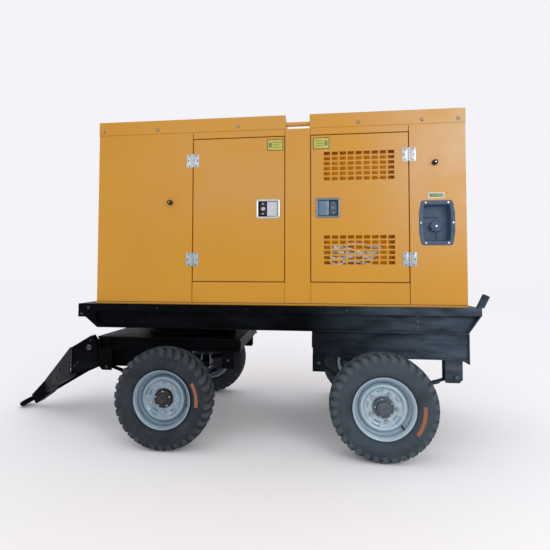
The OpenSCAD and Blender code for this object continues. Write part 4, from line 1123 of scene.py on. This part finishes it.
def filler():
    """The moulded pan of the fuel filler: flange, recess, ledge, screws and the cap's neck."""
    cap_at = JOINTS["fuel_cap_turn"]["pos_m"]
    middle_x, middle_z = cap_at[0] - 0.003, cap_at[2] + 0.023
    at = facing((middle_x, -HALF_W, middle_z), (0, -1, 0))

    def outline(w, waist, h, r):
        """Half width at the ends, half width at the middle, half height."""
        points = []
        corner = rounded(2 * w, 2 * h, r, 4)
        for x, y in corner:
            share = 1 - min(1.0, max(0.0, (abs(y) - 0.45 * h) / (0.55 * h)))
            points.append((x + math.copysign((waist - w) * share, x), y))
        out = []
        for i, (x, y) in enumerate(points):
            out.append((x, y))
            ny = points[(i + 1) % len(points)][1]
            if abs(ny - y) > h:
                for f in (-0.45, 0.45) if ny > y else (0.45, -0.45):
                    out.append((math.copysign(waist, x), f * h))
        return out
    bm = bmesh.new()
    flange = outline(0.117, 0.134, 0.176, 0.016)
    mouth = outline(0.097, 0.104, 0.143, 0.014)
    floor = outline(0.088, 0.092, 0.132, 0.012)

    def ring(points, z, f=1.0):
        return [(x * f, y * f, z) for x, y in points]
    rings = [ring(floor, -0.0670), ring(flange, -0.0005, 0.90), ring(flange, 0.0), ring(flange, 0.0030),
             ring(flange, 0.0048, 0.985), ring(flange, 0.0050, 0.97), ring(mouth, 0.0050, 1.035),
             ring(mouth, 0.0042, 1.01), ring(mouth, 0.0010), ring(floor, -0.0580, 1.02),
             ring(floor, -0.0612, 0.97)]
    loft(bm, rings, at)
    # moulded ledge across the recess and the raised collar round the neck
    box(bm, (-0.090, 0.047, -0.0612), (0.022, 0.053, -0.0480), 0.002, at)
    neck = at @ Matrix.Translation((0.003, -0.023, 0))
    revolve(bm, [(0.0225, -0.0640), (0.0560, -0.0640), (0.0545, -0.0605), (0.0500, -0.0590),
                 (0.0225, -0.0590)], neck, 40, closed=True)
    box(bm, (0.010, -0.132, -0.0612), (0.016, -0.066, -0.0540), 0.002, at)
    piece("filler_moulding", bm, "trailer", "plastic", ["filler_pan"], sharp=32)
    bm = bmesh.new()
    for x, y in ((-0.084, 0.159), (0.086, 0.159), (-0.122, 0.0), (0.122, 0.0), (-0.084, -0.159),
                 (0.086, -0.159)):
        pan_screw(bm, at @ Matrix.Translation((x, y, 0.0048)), 0.0085, 0.0045)
    piece("filler_screws", bm, "trailer", "chrome")
    # cap with grip lobes, a raised tab and its lock
    bm = bmesh.new()
    lobes = []
    for z, swell, f in ((-0.0595, 0.6, 0.985), (-0.0570, 1.0, 1.0), (-0.0400, 1.0, 1.0),
                        (-0.0345, 0.9, 0.975), (-0.0325, 0.5, 0.93), (-0.0320, 0.0, 0.80)):
        radii = [(0.0425 + 0.0030 * swell * math.cos(8 * turn)) * f for turn in turns(96)]
        lobes.append([(r * math.cos(turn), r * math.sin(turn), z) for r, turn in zip(radii, turns(96))])
    loft(bm, lobes, neck)
    revolve(bm, [(0.0205, -0.0720), (0.0205, -0.0590)], neck, 32)
    tab = neck @ Matrix.Rotation(math.radians(60), 4, "Z")
    pad(bm, rounded(0.058, 0.020, 0.008, 4), -0.0325, -0.0255, 0.003, tab)
    piece("fuel_cap_grip", bm, "fuel_cap", "plastic", ["fuel_cap"], sharp=30)
    bm = bmesh.new()
    revolve(bm, [(0.0075, -0.0262), (0.0075, -0.0245), (0.0060, -0.0240), (0.0015, -0.0240)], neck, 20)
    piece("fuel_cap_lock", bm, "fuel_cap", "chrome", sharp=40)
    blank = facing((cap_at[0] - 0.005, -HALF_W, cap_at[2] + 0.239), (0, -1, 0))
    blank_decal("filler_decal", blank, "trailer", 0.120, 0.044, "green", "white")


filler()


# ---------------------------------------------------------------- chassis details

def bolts():
    """Bolts of the end gussets and of the deck's side rails."""
    dark = bmesh.new()
    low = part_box("deck_frame")[0]
    for s in (-1, 1):
        for x, z in ((low.x + 0.034, DECK_TOP - 0.086), (low.x + 0.092, DECK_TOP - 0.034)):
            hex_head(dark, facing((x, s * abs(low.y), z), (0, s, 0)), 0.0125, 0.0088, 0.0155)
        for x in (low.x + 0.700, low.x + 1.450, low.x + 2.250):
            hex_head(dark, facing((x, s * abs(low.y), DECK_TOP - 0.031), (0, s, 0)), 0.0060, 0.0040)
    piece("gusset_bolts", dark, "trailer", "hub")


def u_bolts(end):
    """Round U-bolts over each spring, their nuts and the plate below the axle."""
    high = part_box(f"{end}_u_bolts")[1]
    body = "trailer" if end == "rear" else "steering"
    centre = Vector(JOINTS[f"wheel_{end}_near_spin"]["pos_m"])
    bm = bmesh.new()
    plates = bmesh.new()
    axle_low = centre.z - AXLE_HALF
    top = high.z - 0.006
    leg = 0.038
    bend = 0.014
    for s in (-1, 1):
        y = s * SPRING_Y
        for dx in (-0.045, 0.045):
            x = centre.x + dx
            path = [(x, y - leg, axle_low - 0.036)]
            for spot, first in ((y - leg + bend, 180), (y + leg - bend, 90)):
                path += arc((x, spot, top - bend), bend, first, first - 90, 5, Vector((0, 1, 0)))
            path += [(x, y + leg, axle_low - 0.036)]
            sweep(bm, path, lambda i: 0.006, 12)
            for dy in (-leg, leg):
                nut = facing((x, y + dy, axle_low - 0.0122), (0, 0, -1), (1, 0, 0))
                hex_head(bm, nut, 0.0110, 0.0110, 0.0125)
        outline = rounded(0.124, 0.104, 0.010, 3)
        pad(plates, outline, 0.0, 0.012, 0.002, facing((centre.x, y, axle_low), (0, 0, -1), (0, 1, 0)))
    piece(f"u_bolt_rods_{end}", bm, body, "zinc", [f"{end}_u_bolts"])
    piece(f"u_bolt_plates_{end}", plates, body, "black")


def spring_clips(end):
    """Clips round the leaves and the nuts on the spring pins."""
    body = "trailer" if end == "rear" else "steering"
    centre = Vector(JOINTS[f"wheel_{end}_near_spin"]["pos_m"])
    flip = 1 if end == "rear" else -1
    spring_z = centre.z + AXLE_HALF + 0.0085 * 3.5
    bm = bmesh.new()
    for s in (-1, 1):
        for share, (reach, eye_z) in zip((-0.55, 0.52), SPRING_EYES):
            x = centre.x + flip * abs(reach) * share
            z = spring_z + (eye_z - spring_z) * share * share
            y = s * SPRING_Y
            box(bm, (x - 0.014, y - 0.034, z - 0.0255), (x + 0.014, y + 0.034, z + 0.0085), 0.002)
    piece(f"spring_clips_{end}", bm, body, "black")
    bm = bmesh.new()
    for s in (-1, 1):
        for reach, eye_z in SPRING_EYES:
            at = facing((centre.x + flip * reach, s * (SPRING_Y + 0.0450), eye_z), (0, s, 0))
            hex_head(bm, at, 0.0140, 0.0110)
    piece(f"spring_pin_nuts_{end}", bm, body, "hub")


def weld_bead(bm, a, b, radius=0.004, seed=0):
    """A rippled bead between two points."""
    a, b = Vector(a), Vector(b)
    length = (b - a).length
    steps = max(6, int(length / 0.006))
    along = (b - a).normalized()
    side = along.orthogonal().normalized()
    other = along.cross(side)
    rings = []
    for i in range(steps + 1):
        p = a + (b - a) * (i / steps)
        r = radius * (0.82 + 0.18 * math.sin(i * 2.1 + seed) + 0.10 * math.sin(i * 0.71 + 2 * seed))
        if i in (0, steps):
            r *= 0.5
        rings.append(round_ring(p, r, side, other, 6))
    loft(bm, rings)


def welds():
    """Weld beads of the chassis, in runs with gaps."""
    sub_low, sub_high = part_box("rear_subframe")
    deck_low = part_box("deck_frame")[0]
    bm = bmesh.new()
    for s in (-1, 1):
        # along the top of the subframe under the sill, in runs
        x = sub_low.x + 0.04
        k = 0
        while x < sub_high.x - 0.10:
            run = 0.09 + 0.03 * math.sin(3.1 * k)
            y, z = s * abs(sub_low.y), sub_high.z + 0.001
            weld_bead(bm, (x, y, z), (x + run, y, z), 0.0042, k)
            x += run + 0.035 + 0.02 * math.cos(2.3 * k)
            k += 1
        # joint of the sill's web
        weld_bead(bm, (1.615, s * 0.5345, 0.903), (1.615, s * 0.5345, 1.028), 0.0045, 3)
        # under the rail
        for i in range(9):
            x0 = deck_low.x + 0.30 + 0.33 * i
            weld_bead(bm, (x0, s * 0.5355, 1.0285), (x0 + 0.07, s * 0.5355, 1.0285), 0.0035, i)
    piece("weld_beads_chassis", bm, "trailer", "weld")


def drawbar_details():
    """Pin nuts, root bolts and weld beads of the drawbar."""
    pivot = Vector(JOINTS["drawbar_lift"]["pos_m"])
    bm = bmesh.new()
    for s in (-1, 1):
        at = facing((pivot.x, s * 0.5455, pivot.z), (0, s, 0))
        hex_head(bm, at, 0.0190, 0.0120)
    piece("drawbar_pin_nuts", bm, "drawbar", "hub")
    bm = bmesh.new()
    for s in (-1, 1):
        for dx, dz in ((0.010, 0.060), (-0.105, -0.135), (-0.130, -0.165)):
            hex_head(bm, facing((pivot.x + dx, s * 0.5330, pivot.z + dz), (0, s, 0)), 0.0070, 0.0050, 0.0090)
    piece("drawbar_root_bolts", bm, "drawbar", "hub")
    beads = bmesh.new()
    for s in (-1, 1):
        for dx, y, dz0, dz1, r, seed in ((-0.166, 0.5335, -0.012, -0.225, 0.0045, 2),
                                         (-0.640, 0.0625, -0.360, -0.500, 0.0050, 5)):
            x = pivot.x + dx
            weld_bead(beads, (x, s * y, pivot.z + dz0), (x, s * y, pivot.z + dz1), r, seed)
    piece("weld_beads_drawbar", beads, "drawbar", "weld")


def terminal_side():
    """Output box and looms beside the alternator, behind the vents of the near rear door."""
    s = -1
    bm = bmesh.new()
    box(bm, (0.955, s * 0.246 - 0.006, 1.395), (1.165, s * 0.240, 1.575), 0.006)
    box(bm, (0.975, s * 0.256, 1.415), (1.145, s * 0.246, 1.555), 0.003)
    piece("terminal_cover", bm, "trailer", "white")
    bm = bmesh.new()
    for x in (0.990, 1.130):
        for z in (1.430, 1.540):
            hex_head(bm, facing((x, s * 0.2555, z), (0, s, 0)), 0.0070, 0.0045)
    piece("terminal_screws", bm, "trailer", "zinc")
    bm = bmesh.new()
    for k in range(5):
        z = 1.37 + 0.045 * k
        line = [(0.90, s * 0.250, z), (1.02, s * (0.262 + 0.003 * k), z + 0.05 * math.sin(2.2 * k)),
                (1.16, s * 0.258, z + 0.02), (1.30, s * (0.255 - 0.003 * k), z - 0.06 + 0.02 * k),
                (1.44, s * 0.245, z - 0.02)]
        ribbed_hose(bm, line, 0.0095 + 0.0015 * (k % 3), k)
    piece("loom_hoses", bm, "trailer", "foil")
    bm = bmesh.new()
    for k in range(3):
        x = 1.18 + 0.085 * k
        line = [(x, s * 0.244, 1.29), (x + 0.02, s * 0.262, 1.42), (x - 0.015, s * 0.262, 1.55),
                (x + 0.01, s * 0.244, 1.70)]
        ribbed_hose(bm, line, 0.0080, k)
    piece("loom_cables", bm, "trailer", "rubber")
    # plate that carries the looms
    bm = bmesh.new()
    box(bm, (1.175, s * 0.240, 1.300), (1.500, s * 0.236, 1.700), 0.001)
    box(bm, (0.880, s * 0.240, 1.640), (1.500, s * 0.232, 1.700), 0.002)
    piece("loom_plate", bm, "trailer", "orange")


bolts()
welds()
terminal_side()
drawbar_details()
for e in ENDS:
    u_bolts(e)
    spring_clips(e)


# ---------------------------------------------------------------- CAD nodes that stay

PAINTED = {
    "orange": ("canopy_side_near", "canopy_side_far", "canopy_front_end", "canopy_rear_end", "roof_panel",
               "lifting_bars"),
    "black": ("deck_frame", "end_gussets", "rear_subframe", "rear_hangers", "lashing_stakes", "rear_springs",
              "rear_axle", "upper_bolster", "base_skid", "fuel_tank", "bogie_frame", "turntable_ring",
              "front_hangers", "front_springs", "front_axle", "drawbar", "tow_eye", "radiator"),
    "zinc": ("drawbar_pins",),
    "engine": ("engine",),
    "alternator": ("alternator",),
    "exhaust": ("muffler",),
    "plastic": ("air_filter",),
    "rubber": ("battery",),
    "panel": ("control_panel",),
    "fan": ("cooling_fan",),
}
for look, names in PAINTED.items():
    for n in names:
        dress(n, look)
for n in ("roof_cap_front", "roof_cap_rear"):
    dress(n, "orange", 0.0035, 3)


# ---------------------------------------------------------------- stage and light

def make_stage():
    """The pale floor."""
    bm = bmesh.new()
    bmesh.ops.create_circle(bm, cap_ends=True, radius=60.0, segments=96)
    mesh = bpy.data.meshes.new("floor")
    bm.to_mesh(mesh)
    bm.free()
    floor = bpy.data.objects.new("floor", mesh)
    bpy.context.scene.collection.objects.link(floor)
    s = Surface("floor_pale", (0.990, 0.990, 0.990), 0.9, specular=0.0)
    s.tint(s.noise(0.4, 2.0), (0.980, 0.980, 0.980), 0.8)
    mesh.materials.append(s.material)


def make_light(name, place, target, size, power, colour=(1, 1, 1)):
    """A rectangular lamp at place that points at target."""
    data = bpy.data.lights.new(name, "AREA")
    data.shape = "RECTANGLE"
    data.size, data.size_y = size
    data.energy = power
    data.color = colour
    light = bpy.data.objects.new(name, data)
    light.location = place
    light.rotation_mode = "QUATERNION"
    light.rotation_quaternion = (Vector(target) - Vector(place)).to_track_quat("-Z", "Y")
    bpy.context.scene.collection.objects.link(light)


def make_world():
    """Even sky light."""
    world = bpy.data.worlds.new("world")
    bpy.context.scene.world = world
    world.use_nodes = True
    background = world.node_tree.nodes["Background"]
    background.inputs["Color"].default_value = (0.90, 0.895, 0.94, 1.0)
    background.inputs["Strength"].default_value = 1.0


make_stage()
make_world()
bpy.context.scene.view_settings.view_transform = "Standard"
make_light("key", (4.3, -5.4, 3.3), (1.2, 0.0, 1.7), (2.6, 2.6), 95, (1.0, 0.98, 0.97))
make_light("fill", (-3.5, -5.0, 3.2), (0.2, 0.0, 1.4), (3.5, 2.5), 14, (0.96, 0.98, 1.0))
